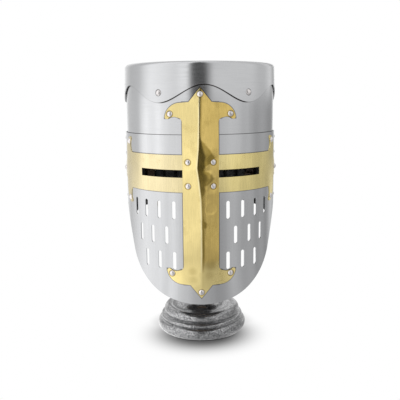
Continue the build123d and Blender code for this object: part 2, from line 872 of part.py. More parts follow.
def tongue(index):
    """One leaf of the suspension liner, from the band up to the lace."""
    turn = tongue_first_angle + index * 360 / tongue_count
    angle = math.radians(turn)
    slope = math.radians(tongue_slope)
    out, depth = tongue_end()
    foot = tongue_foot(angle)
    run = foot - out
    fall = band_bottom - tongue_lap - depth
    normal = (-math.sin(slope), -math.cos(slope))
    radius = (run ** 2 + fall ** 2) / (2 * (run * normal[0] - fall * normal[1]))
    centre = (out + radius * normal[0], -depth + radius * normal[1])
    first = math.pi / 2 - slope
    last = math.atan2(-depth - fall - centre[1], foot - centre[0])

    def on_arc(distance, at):
        return (centre[0] + distance * math.cos(at), centre[1] + distance * math.sin(at))

    over = radius + leather / 2
    under = radius - leather / 2
    middle = (first + last) / 2
    past = last - overrun / radius
    leaf = make_face([ThreePointArc(on_arc(over, first), on_arc(over, middle), on_arc(over, past)),
                      Line(on_arc(over, past), on_arc(under, past)),
                      ThreePointArc(on_arc(under, past), on_arc(under, middle),
                                    on_arc(under, first)),
                      Line(on_arc(under, first), on_arc(over, first))])
    hem = hem_bore / 2 + leather
    lift = hem - leather / 2
    stem_end = (out - hem * math.cos(slope), -depth + hem * math.sin(slope))
    shift = (leather / 2 * math.sin(slope), leather / 2 * math.cos(slope))
    stem = make_face(Polyline([(out + shift[0], -depth + shift[1]),
                               (out - shift[0], -depth - shift[1]),
                               (stem_end[0] - shift[0], stem_end[1] - shift[1]),
                               (stem_end[0] + shift[0], stem_end[1] + shift[1])], close=True))
    eye = (stem_end[0] + lift * math.sin(slope), stem_end[1] + lift * math.cos(slope))
    outline = leaf + stem + Pos(*eye) * Circle(hem)
    outline -= Pos(*eye) * Circle(hem_bore / 2)
    plane = Plane(origin=(0, 0, helm_top), x_dir=(math.cos(angle), math.sin(angle), 0),
                  z_dir=(math.sin(angle), -math.cos(angle), 0))
    body = extrude(plane * outline, amount=tongue_foot_width, both=True)
    end = tongue_end_width / 2
    base = tongue_foot_width / 2
    leaf_plan = make_face(Polyline([(0, -end), (out, -end), (foot - tongue_lap, -base),
                                    (foot + overrun, -base), (foot + overrun, base),
                                    (foot - tongue_lap, base), (out, end), (0, end)],
                                   close=True))
    leaf_plan = Pos(0, 0, level(helm_height)) * Rot(0, 0, turn) * leaf_plan
    room = round_oval(flat((0, level(band_bottom)), (band_in - leather_gap, level(band_bottom)),
                           (band_in - leather_gap, helm_top), (0, helm_top)))
    return body & extrude(leaf_plan, amount=helm_height) & room


def liner_lace():
    """The cord through the hems of the tongues, pulled into a ring with six straight runs."""
    ring = RegularPolygon(lace_apothem, tongue_count, major_radius=False)
    turn = tongue_first_angle - 180 / tongue_count
    ring = Rot(0, 0, turn) * fillet(ring.vertices(), lace_corner)
    path = (Pos(0, 0, level(lace_depth)) * ring).face().outer_wire()
    start = path.position_at(0)
    section = Plane(origin=start, z_dir=path.tangent_at(0)) * Circle(lace_diameter / 2)
    return sweep(section, path=path)


def head_crown():
    """Depth of the felt's top at the axis, and the radius of its crown."""
    slope = math.radians(tongue_slope)
    out, depth = tongue_end()
    clear = leather / 2 + seat_gap
    touch_out = out - clear * math.sin(slope)
    touch_depth = depth + clear * math.cos(slope)
    radius = touch_out / math.sin(slope)
    return touch_depth - radius * (1 - math.cos(slope)), radius


def cap_section(top, radius, breadth, thickness):
    """A crowned layer of even thickness, as a section from the axis out."""
    def drop(distance, size):
        return size - math.sqrt(size ** 2 - distance ** 2)

    small = radius - thickness
    high = level(top)
    low = level(top + thickness)
    upper = ThreePointArc((0, 0, high), (breadth / 2, 0, high - drop(breadth / 2, radius)),
                          (breadth, 0, high - drop(breadth, radius)))
    lower = ThreePointArc((0, 0, low), (breadth / 2, 0, low - drop(breadth / 2, small)),
                          (breadth, 0, low - drop(breadth, small)))
    return make_face([upper, Line(upper @ 1, lower @ 1), lower, Line(lower @ 0, upper @ 0)])


def head_felt_cap():
    """The felt on the stand's head, on which the liner sits."""
    top, radius = head_crown()
    return revolve(cap_section(top, radius, head_radius - head_felt_inset, head_felt), Axis.Z, 360)


def head_rim():
    """Depth of the rim of the turned head, where its crown ends."""
    top, radius = head_crown()
    small = radius - head_felt
    return top + head_felt + small - math.sqrt(small ** 2 - head_radius ** 2)


def stand_head():
    """The turned head of the stand: a crowned disc over a hollowed cone."""
    top, radius = head_crown()
    small = radius - head_felt
    high = level(top + head_felt)
    half = head_radius / 2
    rim = level(head_rim())
    low = level(top + head_drop)
    crown = ThreePointArc((0, 0, high), (half, 0, high - small + math.sqrt(small ** 2 - half ** 2)),
                          (head_radius, 0, rim))
    bottom = rim - head_shoulder
    waist = ((head_radius + head_under_radius) / 2 - head_shoulder / 4, 0,
             (bottom + low) / 2 + head_shoulder / 4)
    section = make_face([crown, Line(crown @ 1, (head_radius, 0, bottom)),
                         ThreePointArc((head_radius, 0, bottom), waist,
                                       (head_under_radius, 0, low)),
                         Line((head_under_radius, 0, low), (0, 0, low)),
                         Line((0, 0, low), (0, 0, high))])
    body = revolve(section, Axis.Z, 360)
    sink = Pos(0, 0, high - head_screw_sink) * Cylinder(
        screw_head_radius + screw_play, head_screw_sink * 2,
        align=(Align.CENTER, Align.CENTER, Align.MIN))
    bore = Pos(0, 0, low - overrun) * Cylinder(screw_diameter / 2 + screw_play, helm_height,
                                              align=(Align.CENTER, Align.CENTER, Align.MIN))
    return body - sink - bore


def column_top():
    """Height of the column's upper face, where the head sits."""
    top, radius = head_crown()
    return level(top + head_drop)


def stand_column():
    """The tapered column, bored at both ends for the screws."""
    high = column_top()
    body = revolve(flat((0, foot_top), (column_bottom_radius, foot_top),
                        (column_top_radius, high), (0, high)), Axis.Z, 360)
    bore = Cylinder(screw_diameter / 2 + rivet_gap, screw_grip + overrun,
                    align=(Align.CENTER, Align.CENTER, Align.MIN))
    upper = Cylinder(screw_diameter / 2 + rivet_gap, screw_grip + overrun,
                     align=(Align.CENTER, Align.CENTER, Align.MAX))
    return body - Pos(0, 0, foot_top) * bore - Pos(0, 0, high) * upper


def screw(length):
    """A hexagon-headed screw, its head above zero and its shank below."""
    head = extrude(RegularPolygon(screw_head_radius, 6), amount=screw_head_height)
    head = chamfer(head.edges().group_by(Axis.Z)[-1], screw_chamfer)
    shank = Cylinder(screw_diameter / 2, length, align=(Align.CENTER, Align.CENTER, Align.MAX))
    return head + shank


def head_screw():
    """The screw down through the stand's head into the column."""
    top, radius = head_crown()
    seat = level(top + head_felt + head_screw_sink)
    return Pos(0, 0, seat) * screw(seat - column_top() + screw_grip)


def foot_screw():
    """The screw up through the foot into the column, with its head in the recess."""
    seat = foot_felt_thickness + foot_recess_depth - washer_thickness
    length = foot_top + screw_grip - seat
    return Pos(0, 0, seat) * Rot(180, 0, 0) * screw(length)


def foot_washer():
    """The washer between the screw's head and the foot."""
    ring = Circle(washer_radius) - Circle(screw_diameter / 2 + screw_play)
    seat = foot_felt_thickness + foot_recess_depth - washer_thickness
    return Pos(0, 0, seat) * extrude(ring, amount=washer_thickness)


def stand_foot():
    """The cast foot: a wide ring, a narrow ring, a round moulding and a hollow neck."""
    base = foot_felt_thickness
    step = foot_ring_top + (ring_two_height - foot_ring_top) / 3
    edges = [Line((0, 0, base), (foot_base_radius, 0, base)),
             ThreePointArc((foot_base_radius, 0, base), (foot_ring_radius, 0, foot_ring_height),
                           (foot_base_radius, 0, foot_ring_top)),
             Line((foot_base_radius, 0, foot_ring_top),
                  (ring_two_radius - moulding_step, 0, step)),
             ThreePointArc((ring_two_radius - moulding_step, 0, step),
                           (ring_two_radius, 0, ring_two_height),
                           (torus_radius + moulding_step, 0, ring_two_top)),
             Line((torus_radius + moulding_step, 0, ring_two_top),
                  (torus_radius - moulding_step, 0, ring_two_top + moulding_step)),
             ThreePointArc((torus_radius - moulding_step, 0, ring_two_top + moulding_step),
                           (torus_radius, 0, torus_height),
                           (torus_top_radius, 0, torus_top)),
             ThreePointArc((torus_top_radius, 0, torus_top),
                           ((torus_top_radius + 2 * neck_radius) / 3, 0,
                            (neck_height + 2 * torus_top) / 3),
                           (neck_radius, 0, neck_height)),
             Line((neck_radius, 0, neck_height), (column_bottom_radius, 0, foot_top)),
             Line((column_bottom_radius, 0, foot_top), (0, 0, foot_top)),
             Line((0, 0, foot_top), (0, 0, base))]
    body = revolve(make_face(edges), Axis.Z, 360)
    recess = Cylinder(foot_recess_radius, base + foot_recess_depth,
                      align=(Align.CENTER, Align.CENTER, Align.MIN))
    bore = Cylinder(screw_diameter / 2 + screw_play, foot_top + overrun,
                    align=(Align.CENTER, Align.CENTER, Align.MIN))
    return body - recess - bore


def foot_felt():
    """The felt disc glued under the foot."""
    return extrude(Circle(foot_felt_radius), amount=foot_felt_thickness)


def main():
    os.makedirs("parts", exist_ok=True)

    cap_rivets, cap_holes = seat_rivets(cap_sites())
    top_rivets, top_holes = seat_rivets(upright_sites(cross_top, 1))
    bottom_rivets, bottom_holes = seat_rivets(upright_sites(cross_bottom, -1))
    centre_rivets, centre_holes = seat_rivets(centre_sites())
    left_arm_rivets, left_arm_holes = seat_rivets(arm_sites(-1))
    right_arm_rivets, right_arm_holes = seat_rivets(arm_sites(1))
    left_side_rivets, left_side_holes = seat_rivets(side_sites(-1))
    right_side_rivets, right_side_holes = seat_rivets(side_sites(1))
    back_rivets, back_holes = seat_rivets(back_sites())
    strap_rivets, strap_holes = seat_rivets(strap_sites())
    arm_holes = left_arm_holes + right_arm_holes
    side_holes = left_side_holes + right_side_holes

    save("crown_cap", crown_cap() - cap_holes)
    save("upper_plate", upper_plate() - cap_holes - top_holes - arm_holes - side_holes
         - back_holes)
    save("face_plate", face_plate() - arm_holes - side_holes - centre_holes - bottom_holes)
    save("back_plate", back_plate() - side_holes - back_holes - strap_holes)
    save("cross_bar", cross_bar() - arm_holes - centre_holes)
    save("cross_upright", cross_upright() - top_holes - bottom_holes - centre_holes)

    save("cap_rivets", cap_rivets)
    save("cross_top_rivets", top_rivets)
    save("cross_bottom_rivets", bottom_rivets)
    save("cross_centre_rivets", centre_rivets)
    save("left_arm_rivets", left_arm_rivets)
    save("right_arm_rivets", right_arm_rivets)
    save("left_side_rivets", left_side_rivets)
    save("right_side_rivets", right_side_rivets)
    save("back_rivets", back_rivets)
    save("strap_rivets", strap_rivets)

    band = round_oval(band_profile(band_in, band_out, band_top, band_bottom))
    save("liner_band", band - cap_holes - top_holes)
    save("liner_tongues", [tongue(index) for index in range(tongue_count)])
    save("liner_lace", liner_lace())
    save("nape_pad", nape_pad() - strap_holes)

    outer, inner = strap_faces()
    save("strap_tabs", [strap_tab(side) - strap_holes for side in (-1, 1)])
    save("strap_left", strap_left())
    save("strap_right", strap_right())
    left_top = buckle_bar_depth - left_keeper_rise
    left_inner = outer - fold_thickness(left_top + keeper_height)
    save("left_keeper", strap_keeper(-1, left_inner, outer, left_top))
    right_top = right_fold_depth - right_keeper_rise
    right_inner = inner - right_fold_gap - leather
    save("right_keeper", strap_keeper(1, right_inner, outer, right_top))
    save("buckle_frame", buckle_frame())
    save("buckle_prong", buckle_prong())

    save("stand_foot", stand_foot())
    save("foot_felt", foot_felt())
    save("foot_screw", foot_screw())
    save("foot_washer", foot_washer())
    save("stand_column", stand_column())
    save("stand_head", stand_head())
    save("head_screw", head_screw())
    save("head_felt", head_felt_cap())


main()
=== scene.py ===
# %% [markdown]
# # A great helm on its stand
#
# The real thing is a flat-topped steel helm. Its plates are cut flat, rolled to an oval and
# riveted, a brass cross is laid over the face, and a padded leather liner sits inside. It rests
# on a cast stand. The CAD model already has every piece at its real size, so this script loads
# it as a fixed frame and gives each piece the surface that the real one has.
#
# Everything is in metres, +Z is up, and the helm looks along -Y.

# %% Load the frame
import json
import math

import bmesh
import bpy
from mathutils import Matrix, Vector, noise


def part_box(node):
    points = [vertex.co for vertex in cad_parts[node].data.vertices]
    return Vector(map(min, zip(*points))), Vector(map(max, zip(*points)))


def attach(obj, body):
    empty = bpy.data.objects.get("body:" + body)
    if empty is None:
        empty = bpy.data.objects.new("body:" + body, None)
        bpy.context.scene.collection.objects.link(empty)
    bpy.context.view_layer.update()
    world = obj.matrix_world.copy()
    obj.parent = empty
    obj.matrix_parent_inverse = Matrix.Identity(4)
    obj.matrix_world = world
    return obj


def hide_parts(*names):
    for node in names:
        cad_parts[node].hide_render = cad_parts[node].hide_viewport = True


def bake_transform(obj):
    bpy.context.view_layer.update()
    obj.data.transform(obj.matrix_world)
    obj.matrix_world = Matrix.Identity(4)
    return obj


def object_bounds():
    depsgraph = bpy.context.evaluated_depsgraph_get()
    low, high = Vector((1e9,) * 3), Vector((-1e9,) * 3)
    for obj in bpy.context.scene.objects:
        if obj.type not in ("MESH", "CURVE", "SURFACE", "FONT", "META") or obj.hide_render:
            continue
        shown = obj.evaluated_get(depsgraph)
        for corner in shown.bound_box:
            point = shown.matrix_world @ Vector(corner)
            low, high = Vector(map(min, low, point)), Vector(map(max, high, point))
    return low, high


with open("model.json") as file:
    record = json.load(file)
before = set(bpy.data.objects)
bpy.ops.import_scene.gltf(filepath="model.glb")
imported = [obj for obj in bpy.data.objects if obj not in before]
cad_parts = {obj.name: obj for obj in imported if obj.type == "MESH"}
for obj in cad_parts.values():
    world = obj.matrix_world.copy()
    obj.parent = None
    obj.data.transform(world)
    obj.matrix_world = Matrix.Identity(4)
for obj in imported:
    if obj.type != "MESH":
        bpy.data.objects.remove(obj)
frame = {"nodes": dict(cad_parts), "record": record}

MM = 0.001
cad_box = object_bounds()
nodes = frame["nodes"]
slot_of_node = {row["node"]: row["material_slot"] for row in frame["record"]["subparts"]}
print("pieces in the frame:", len(nodes))

# %% [markdown]
# ## The camera
#
# The photograph is taken from a little under the crown's height with a longish lens, looking
# slightly down. These values come from fitting the helm's own edges and rivets, so the render
# lines up with the photograph.

# %% Camera
CAMERA_DISTANCE = 880 * MM
CAMERA_HEIGHT = 358.6 * MM
CAMERA_YAW = 0.1
CAMERA_PITCH = -10.01
CAMERA_ROLL = -0.5
SENSOR_WIDTH = 36
PHOTO_SIZE = 400
FOCAL_PIXELS = 577
CENTRE_PIXEL = 200.7

yaw = math.radians(CAMERA_YAW)
camera_data = bpy.data.cameras.new("camera")
camera_data.sensor_width = SENSOR_WIDTH
camera_data.lens = SENSOR_WIDTH * FOCAL_PIXELS / PHOTO_SIZE
camera_data.shift_x = (PHOTO_SIZE / 2 - CENTRE_PIXEL) / PHOTO_SIZE
camera = bpy.data.objects.new("camera", camera_data)
bpy.context.scene.collection.objects.link(camera)
camera.location = (-CAMERA_DISTANCE * math.sin(yaw), -CAMERA_DISTANCE * math.cos(yaw),
                   CAMERA_HEIGHT)
camera.rotation_euler = (Matrix.Rotation(-yaw, 4, "Z")
                         @ Matrix.Rotation(math.radians(90 + CAMERA_PITCH), 4, "X")
                         @ Matrix.Rotation(math.radians(CAMERA_ROLL), 4, "Z")).to_euler()
bpy.context.scene.camera = camera
bpy.context.scene.view_settings.view_transform = "Standard"
print("lens", round(camera_data.lens, 2), "mm")

# %% [markdown]
# ## Shader maths as Python
#
# A finish is a small program: noise makes a mask, the mask drives colour, roughness and bump.
# Wiring each Math node by hand hides the idea, so one class wraps a socket and lets Python's
# own operators add the nodes. The finish class adds every other node in one way: its settings
# first, because they change which sockets the node has, and then what goes into them.

# %% Signals
class Signal:
    """A socket that can be used in sums."""

    def __init__(self, finish, socket):
        self.finish, self.socket = finish, socket

    def maths(self, operation, *others):
        """A Math node that takes this signal first and then the others."""
        sockets = dict(enumerate((self, *others)))
        return self.finish.node("Math", {"operation": operation}, sockets)

    def __add__(self, other):
        return self.maths("ADD", other)

    def __sub__(self, other):
        return self.maths("SUBTRACT", other)

    def __rsub__(self, other):
        return self.finish.node("Math", {"operation": "SUBTRACT"}, {0: other, 1: self})

    def __mul__(self, other):
        return self.maths("MULTIPLY", other)

    __radd__, __rmul__ = __add__, __mul__


print("operators on signals: + - *")

# %% Finishes
class Finish:
    """A node tree, with one way to add nodes and to feed the shader."""

    def __init__(self, owner, shader="Principled BSDF"):
        owner.use_nodes = True
        self.owner = owner
        self.tree = owner.node_tree
        self.shader = self.tree.nodes[shader]

    def feed(self, socket, value):
        """Link a signal to a socket, or set the socket to a number, vector or colour."""
        if isinstance(value, Signal):
            self.tree.links.new(value.socket, socket)
        elif isinstance(value, tuple) and socket.type == "RGBA":
            socket.default_value = value + (1,)
        else:
            socket.default_value = value

    def node(self, kind, settings=None, sockets=None, output=0):
        """Add a node and return one of its outputs. A ramp's stops are one of its settings."""
        made = self.tree.nodes.new("ShaderNode" + kind)
        for name, value in (settings or {}).items():
            if name == "stops":
                ramp = made.color_ramp.elements
                while len(ramp) < len(value):
                    ramp.new(1)
                for element, (place, colour) in zip(ramp, value):
                    element.position = place
                    element.color = colour + (1,)
            else:
                setattr(made, name, value)
        for name, value in (sockets or {}).items():
            self.feed(made.inputs[name], value)
        return Signal(self, made.outputs[output])

    def place(self, scale=(1, 1, 1)):
        """The piece's own coordinates, in metres, stretched by scale."""
        own = self.node("TexCoord", output="Object")
        return self.node("Mapping", {}, {"Vector": own, "Scale": scale})

    def axes(self, scale=(1, 1, 1)):
        """The piece's x, y and z as three signals, in metres."""
        own = self.place(scale)
        return [self.node("SeparateXYZ", {}, {"Vector": own}, output=axis) for axis in "XYZ"]

    def clouds(self, size, detail=2.0, rough=0.5, scale=(1, 1, 1)):
        """Noise from 0 to 1 whose lumps are about one size, in millimetres, stretched by scale."""
        sockets = {"Vector": self.place(scale), "Scale": 1 / (size * MM), "Detail": detail,
                   "Roughness": rough}
        return self.node("TexNoise", {}, sockets)

    def cells(self, size):
        """Soft distance to scattered points, for pebbled grain and specks."""
        sockets = {"Vector": self.place(), "Scale": 1 / (size * MM)}
        return self.node("TexVoronoi", {"feature": "SMOOTH_F1"}, sockets)

    def fade(self, value, low, high, to_low=0.0, to_high=1.0, smooth=True):
        """A value's range mapped to another, with soft ends."""
        kind = "SMOOTHSTEP" if smooth else "LINEAR"
        sockets = {"Value": value, "From Min": low, "From Max": high, "To Min": to_low,
                   "To Max": to_high}
        return self.node("MapRange", {"interpolation_type": kind}, sockets)

    def near(self, point, reach, soft, place=None):
        """A round patch: 1 within reach of a point, 0 beyond the soft edge, in millimetres."""
        sockets = {0: place or self.place(), 1: tuple(value * MM for value in point)}
        away = self.node("VectorMath", {"operation": "DISTANCE"}, sockets, output="Value")
        return self.fade(away, (reach + soft) * MM, reach * MM)

    def mix(self, factor, first, second):
        """Two colours blended by a mask."""
        # On a Mix node the colours are inputs 6 and 7, and the blended one is output 2.
        sockets = {0: factor, 6: first, 7: second}
        return self.node("Mix", {"data_type": "RGBA"}, sockets, output=2)

    def bump(self, height, depth, normal=None):
        """A normal from a height map whose full range is a depth in millimetres."""
        sockets = {"Height": height, "Distance": depth * MM, "Strength": 1.0}
        if normal is not None:
            sockets["Normal"] = normal
        return self.node("Bump", {}, sockets)

    def finish(self, **sockets):
        """Feed the shader's sockets by their names, with underscores for spaces."""
        for name, value in sockets.items():
            self.feed(self.shader.inputs[name.replace("_", " ")], value)
        return self.owner


def new_finish(name):
    """A finish for a new material."""
    return Finish(bpy.data.materials.new(name))


def toned(colour, share, lift=0.0):
    """A colour made darker or paler by a share, and then lifted."""
    return tuple(value * share + lift for value in colour)


print("a finish can:", [name for name in vars(Finish) if name[0] != "_"])

# %% [markdown]
# ## Painted shade and grime along the joins
#
# Shade falls, and polish and dust stay where a cloth can't reach: under the wavy edge of the
# cap's skirt, in the step where two plates lap, round the brass and round each rivet head. Both
# are painted here as dark hairlines, which make thin sheet read as separate pieces. Each is a
# mask worked out from the same sizes that the CAD uses.

# %% Sizes, as in the CAD
# In millimetres. Depths are measured down from the crown, and the plates are two half circles
# with a straight run between them.
HELM_TOP, HALF_RUN = 406, 17
CAP_OUT, UPPER_OUT, FACE_OUT, BAR_OUT = 108.1, 107.0, 109.2, 110.1
OVAL_LENGTH = math.tau * CAP_OUT + 4 * HALF_RUN
SKIRT_CREST, SKIRT_TROUGH, SKIRT_WAVES, SKIRT_TURN = 29.6, 52.7, 6, 5.7
SEAM_DEPTH = 94.8

CROSS_DEPTH, ARM_HALF, ARM_REACH = 145.8, 24.9, 96
CROSS_TOP, CROSS_BOTTOM, UPRIGHT_HALF = 33.7, 316.6, 24.0
POINT_HALF, POINT_LONG = 15, 18.5

CAP_RIVET_DEPTH, CAP_RIVET_OUT = 40, 1.37
CAP_RIVETS = [SKIRT_TURN + (wave + 0.5) * OVAL_LENGTH / SKIRT_WAVES for wave in range(-3, 3)]
CROSS_RIVETS = [(x, depth) for depth in (130.0, 161.6) for x in (-16.9, 16.9)]
CROSS_RIVETS += [(x, depth) for depth in (67.4, 282.9) for x in (-40, 40)]
CROSS_RIVETS += [(0, 42.1), (0, 308.2)]
print("rivets: cross", len(CROSS_RIVETS), "and skirt", len(CAP_RIVETS))

# %% Masks in millimetres
LINE, SOFT = 0.5, 0.9


def oval_place(arc, radius, out, height):
    """A place by its arc from the brow round an oval of this radius, moved out, in mm."""
    quarter = math.pi / 2 * radius
    side, length = math.copysign(1, arc), abs(arc)
    if length <= quarter:
        angle, run = length / radius, -HALF_RUN
    elif length <= quarter + 2 * HALF_RUN:
        angle, run = math.pi / 2, length - quarter - HALF_RUN
    else:
        angle, run = (length - 2 * HALF_RUN) / radius, HALF_RUN
    reach = radius + out
    return Vector((side * math.sin(angle) * reach, run - math.cos(angle) * reach, height))


def millimetres(f):
    """The piece's x and y in millimetres, and its depth below the crown."""
    x, y, z = (signal * (1 / MM) for signal in f.axes())
    return x, y, HELM_TOP - z


def either(first, *others):
    """The strongest of some masks."""
    for mask in others:
        first = first.maths("MAXIMUM", mask)
    return first


def within(f, value, limit):
    """1 where a value is under a limit, 0 once it is past the line and its soft edge."""
    return f.fade(value, limit + LINE + SOFT, limit + LINE)


def away_from(first, second, centre):
    """Distance in a plane from two signals to a fixed point."""
    squares = [(value - at) * (value - at) for value, at in zip((first, second), centre)]
    return (squares[0] + squares[1]).maths("SQRT")


print("hairlines:", LINE, "mm wide")

# %% Lines of painted shade and grime
LOBE_DISC, LOBE_RADIUS, LOBE_END = (25.5, 40.6), 21.4, 39.6
HOLLOW_DISC, HOLLOW_RADIUS = (34.8, 49.7), 10.6
OUTER_SKIN = (-0.6, -0.3)


def under_skirt(f):
    """How far below the skirt's wavy edge a point lies, and 1 on the brow's wave."""
    x, y, depth = millimetres(f)
    wide = x.maths("ABSOLUTE")
    ahead = (0.0 - y - HALF_RUN).maths("MAXIMUM", 0.0)
    behind = (y - HALF_RUN).maths("MAXIMUM", 0.0)
    angle = wide.maths("ARCTAN2", ahead) + behind.maths("ARCTAN2", wide)
    run = (y + HALF_RUN).maths("MAXIMUM", 0.0).maths("MINIMUM", 2.0 * HALF_RUN)
    arc = (angle * CAP_OUT + run) * x.maths("SIGN")
    turn = (arc - SKIRT_TURN) * (math.tau * SKIRT_WAVES / OVAL_LENGTH)
    middle, swing = (SKIRT_CREST + SKIRT_TROUGH) / 2, (SKIRT_TROUGH - SKIRT_CREST) / 2
    below = depth - (middle - turn.maths("COSINE") * swing)
    return below, f.fade(turn.maths("ABSOLUTE"), 3.3, 2.8)


def under_cross(f, outside):
    """1 under the brass cross and in a hairline round it, only on the plate's outer side."""
    x, y, depth = millimetres(f)
    wide = x.maths("ABSOLUTE")
    off_centre = depth - (CROSS_TOP + CROSS_BOTTOM) / 2
    inset = (CROSS_BOTTOM - CROSS_TOP) / 2 - off_centre.maths("ABSOLUTE")
    upright = within(f, wide, UPRIGHT_HALF) * within(f, 0.0 - inset, -POINT_LONG)
    lobe = within(f, away_from(wide, inset, LOBE_DISC), LOBE_RADIUS) * within(f, inset, LOBE_END)
    lobe = lobe * (1 - within(f, away_from(wide, inset, HOLLOW_DISC), HOLLOW_RADIUS))
    slope, slant = POINT_LONG / POINT_HALF, POINT_HALF / math.hypot(POINT_HALF, POINT_LONG)
    point = within(f, (wide * slope - inset) * slant, 0) * within(f, inset, POINT_LONG + 0.5)
    bar = within(f, (depth - CROSS_DEPTH).maths("ABSOLUTE"), ARM_HALF) * within(f, wide, ARM_REACH)
    inner, outer = (outside + skin for skin in OUTER_SKIN)
    skin = f.fade(away_from(x, y, (0, -HALF_RUN)), inner, outer)
    return either(upright, lobe, point, bar) * f.fade(y, 0.0, -20.0) * skin


print("waves of the skirt:", SKIRT_WAVES)

# %% [markdown]
# ## Steel
#
# The plates are mild steel, rolled and then rubbed with fine abrasive cloth, so they reflect
# soft upright stripes of the room, and the light wavers where the sheet isn't quite true. The
# cap and the rolled band were rubbed round the helm, the face from top to bottom. Here very
# fine stretched noise gives the rubbing, broad noise the waver, and a few clouds make the
# roughness uneven.

# %% Steel plate
ROUND, UPRIGHT, ACROSS = (0.16, 0.16, 3.0), (3.0, 3.0, 0.12), (0.07, 3.0, 1.0)
# The second colour is the painted shade, with some grime, of the dark hairlines.
STEEL, SHADE_AND_GRIME = (0.60, 0.605, 0.615), (0.045, 0.04, 0.035)
# A ring of painted shade, with some grime, round each rivet of the cap: reach and soft edge, in
# mm.
CAP_RIVET_SHADE = (4.1, 0.8)


def steel(name, along, grime_and_shade=None):
    """Rubbed steel. along stretches the scratches: small numbers run along that axis."""
    f = new_finish(name)
    crown = f.fade(millimetres(f)[2], 1.6, 0.4)
    rubbing, streaks = (f.clouds(size, detail, 0.65, along) * (1 - crown)
                        + f.clouds(size, detail, 0.65, ACROSS) * crown
                        for size, detail in ((1.0, 3.0), (6.0, 2.0)))
    haze = f.clouds(38, 3.0, 0.6)
    tone = f.fade(haze * 0.5 + streaks * 0.5, 0.35, 0.65)
    base = f.mix(tone, toned(STEEL, 0.96), STEEL)
    # Painted shade, with some grime, darkens the hairlines that the mask gives.
    if grime_and_shade:
        base = f.mix(grime_and_shade(f), base, SHADE_AND_GRIME)
    waver = f.bump(f.clouds(70, 1.0, 0.4, (1, 1, 0.45)), 0.4)
    normal = f.bump(rubbing, 0.0018, f.bump(streaks, 0.003, waver))
    return f.finish(Base_Color=base, Metallic=1.0, Roughness=f.fade(tone, 0, 1, 0.20, 0.15),
                    Normal=normal)


def cap_shade_and_grime(f):
    """Painted shade and grime: a line under the skirt's cut edge, and rings round the rivets of
    the cap.
    """
    rings = []
    for arc in CAP_RIVETS:
        rivet = oval_place(arc, CAP_OUT, CAP_RIVET_OUT, HELM_TOP - CAP_RIVET_DEPTH)
        rings.append(f.near(rivet, *CAP_RIVET_SHADE))
    below, brow = under_skirt(f)
    return either(f.fade(below, -0.5, -0.1) * (brow * 0.6 + 0.4), *rings) * 0.9


def band_shade_and_grime(f):
    """Painted shade and grime: under the skirt, above the face plate and round the brass."""
    depth = millimetres(f)[2]
    below, brow = under_skirt(f)
    # Each line is painted shade, with some grime, where one part meets another.
    skirt = f.fade(below, -1.0, -0.4) * f.fade(below, 1.5, 0.5) * (brow * 0.65 + 0.35)
    seam_shade = f.fade(depth, SEAM_DEPTH - 1.1, SEAM_DEPTH - 0.3) * 0.75
    return either(skirt * 0.95, seam_shade, under_cross(f, UPPER_OUT) * 0.7)


finishes = {
    "crown_cap": steel("steel_cap", ROUND, cap_shade_and_grime),
    "upper_plate": steel("steel_band", ROUND, band_shade_and_grime),
    # On the face plate, a hairline of painted shade, with some grime, goes round the brass.
    "face_plate": steel("steel_face", UPRIGHT, lambda f: under_cross(f, FACE_OUT) * 0.7),
    "back_plate": steel("steel_back", UPRIGHT),
}
print("steel finishes:", len(finishes))

# %% [markdown]
# ## Rivets and fixings
#
# The rivets are smooth domed steel, brighter than the plates, with a thin ring of painted shade
# and grime where the head meets the sheet. Their heads are turned by machine, so they have no
# grain. The hexagon screw, the washer and the slotted head screw are zinc plated and a little
# duller.

# %% Rivets and fixings
def bright_steel(name, colour, shine, speck):
    """Smooth steel or zinc with a few duller specks."""
    f = new_finish(name)
    spots = f.fade(f.clouds(speck, 2.0), 0.52, 0.68)
    return f.finish(Base_Color=f.mix(spots, colour, toned(colour, 0.72)), Metallic=1.0,
                    Roughness=f.fade(spots, 0, 1, shine, shine + 0.12),
                    Normal=f.bump(f.clouds(2.5, 1.0), 0.02))


rivet_finish = bright_steel("rivet_steel", (0.80, 0.765, 0.755), shine=0.24, speck=3.0)
fixing_finish = bright_steel("fixing_steel", (0.50, 0.49, 0.46), shine=0.34, speck=1.6)
print("made:", rivet_finish.name, fixing_finish.name)

# %% [markdown]
# ## Brass
#
# The cross is thin yellow brass. It was cleaned with steel wool along its length, so it has
# faint upright streaks. Light is painted into its colour: the left side is painted pale, as if
# lit from the left, the right side a deeper yellow, as if in less light, and both are alike
# near the lower end. A painted highlight runs along the left edge of the ridge, and painted
# shade darkens the crease beside the ridge. Brown tarnish gathers in the hollow beside the
# ridge, and painted shade with some tarnish rings each rivet. The buckle is cast brass, duller
# and blotched with tarnish.

# %% Brass
# Tables of (depth, value): how far the tarnish reaches from the ridge, how far the ridge wanders
# to the right, how much of the painted light and shade splits the two flanks, and how dark the
# painted shade in the crease beside the ridge is.
TARNISH = [(CROSS_TOP, 0), (95, 0), (101, 3), (109, 11), (117, 17), (124, 23), (130, 21),
           (135, 10), (141, 11), (146, 17), (151, 20), (156, 16), (161, 8), (170, 5), (180, 2),
           (186, 0), (205, 0), (211, 7), (216, 6), (221, 0), (CROSS_BOTTOM, 0)]
RIDGE_WANDER = [(CROSS_TOP, 0), (80, -1.2), (113, -2.3), (137, -4.4), (153, -2.0), (177, 0.6),
                (205, 1.3), (255, 1.3), (290, 0.4), (CROSS_BOTTOM, 0)]
LIT_FLANK_SHARE = [(CROSS_TOP, 1), (262, 1), (280, 0.2), (CROSS_BOTTOM, 0)]
CREASE_SHADE = [(CROSS_TOP, 0.5), (198, 0.5), (206, 0.9), (256, 0.9), (270, 0.6), (282, 0.1),
          (CROSS_BOTTOM, 0)]
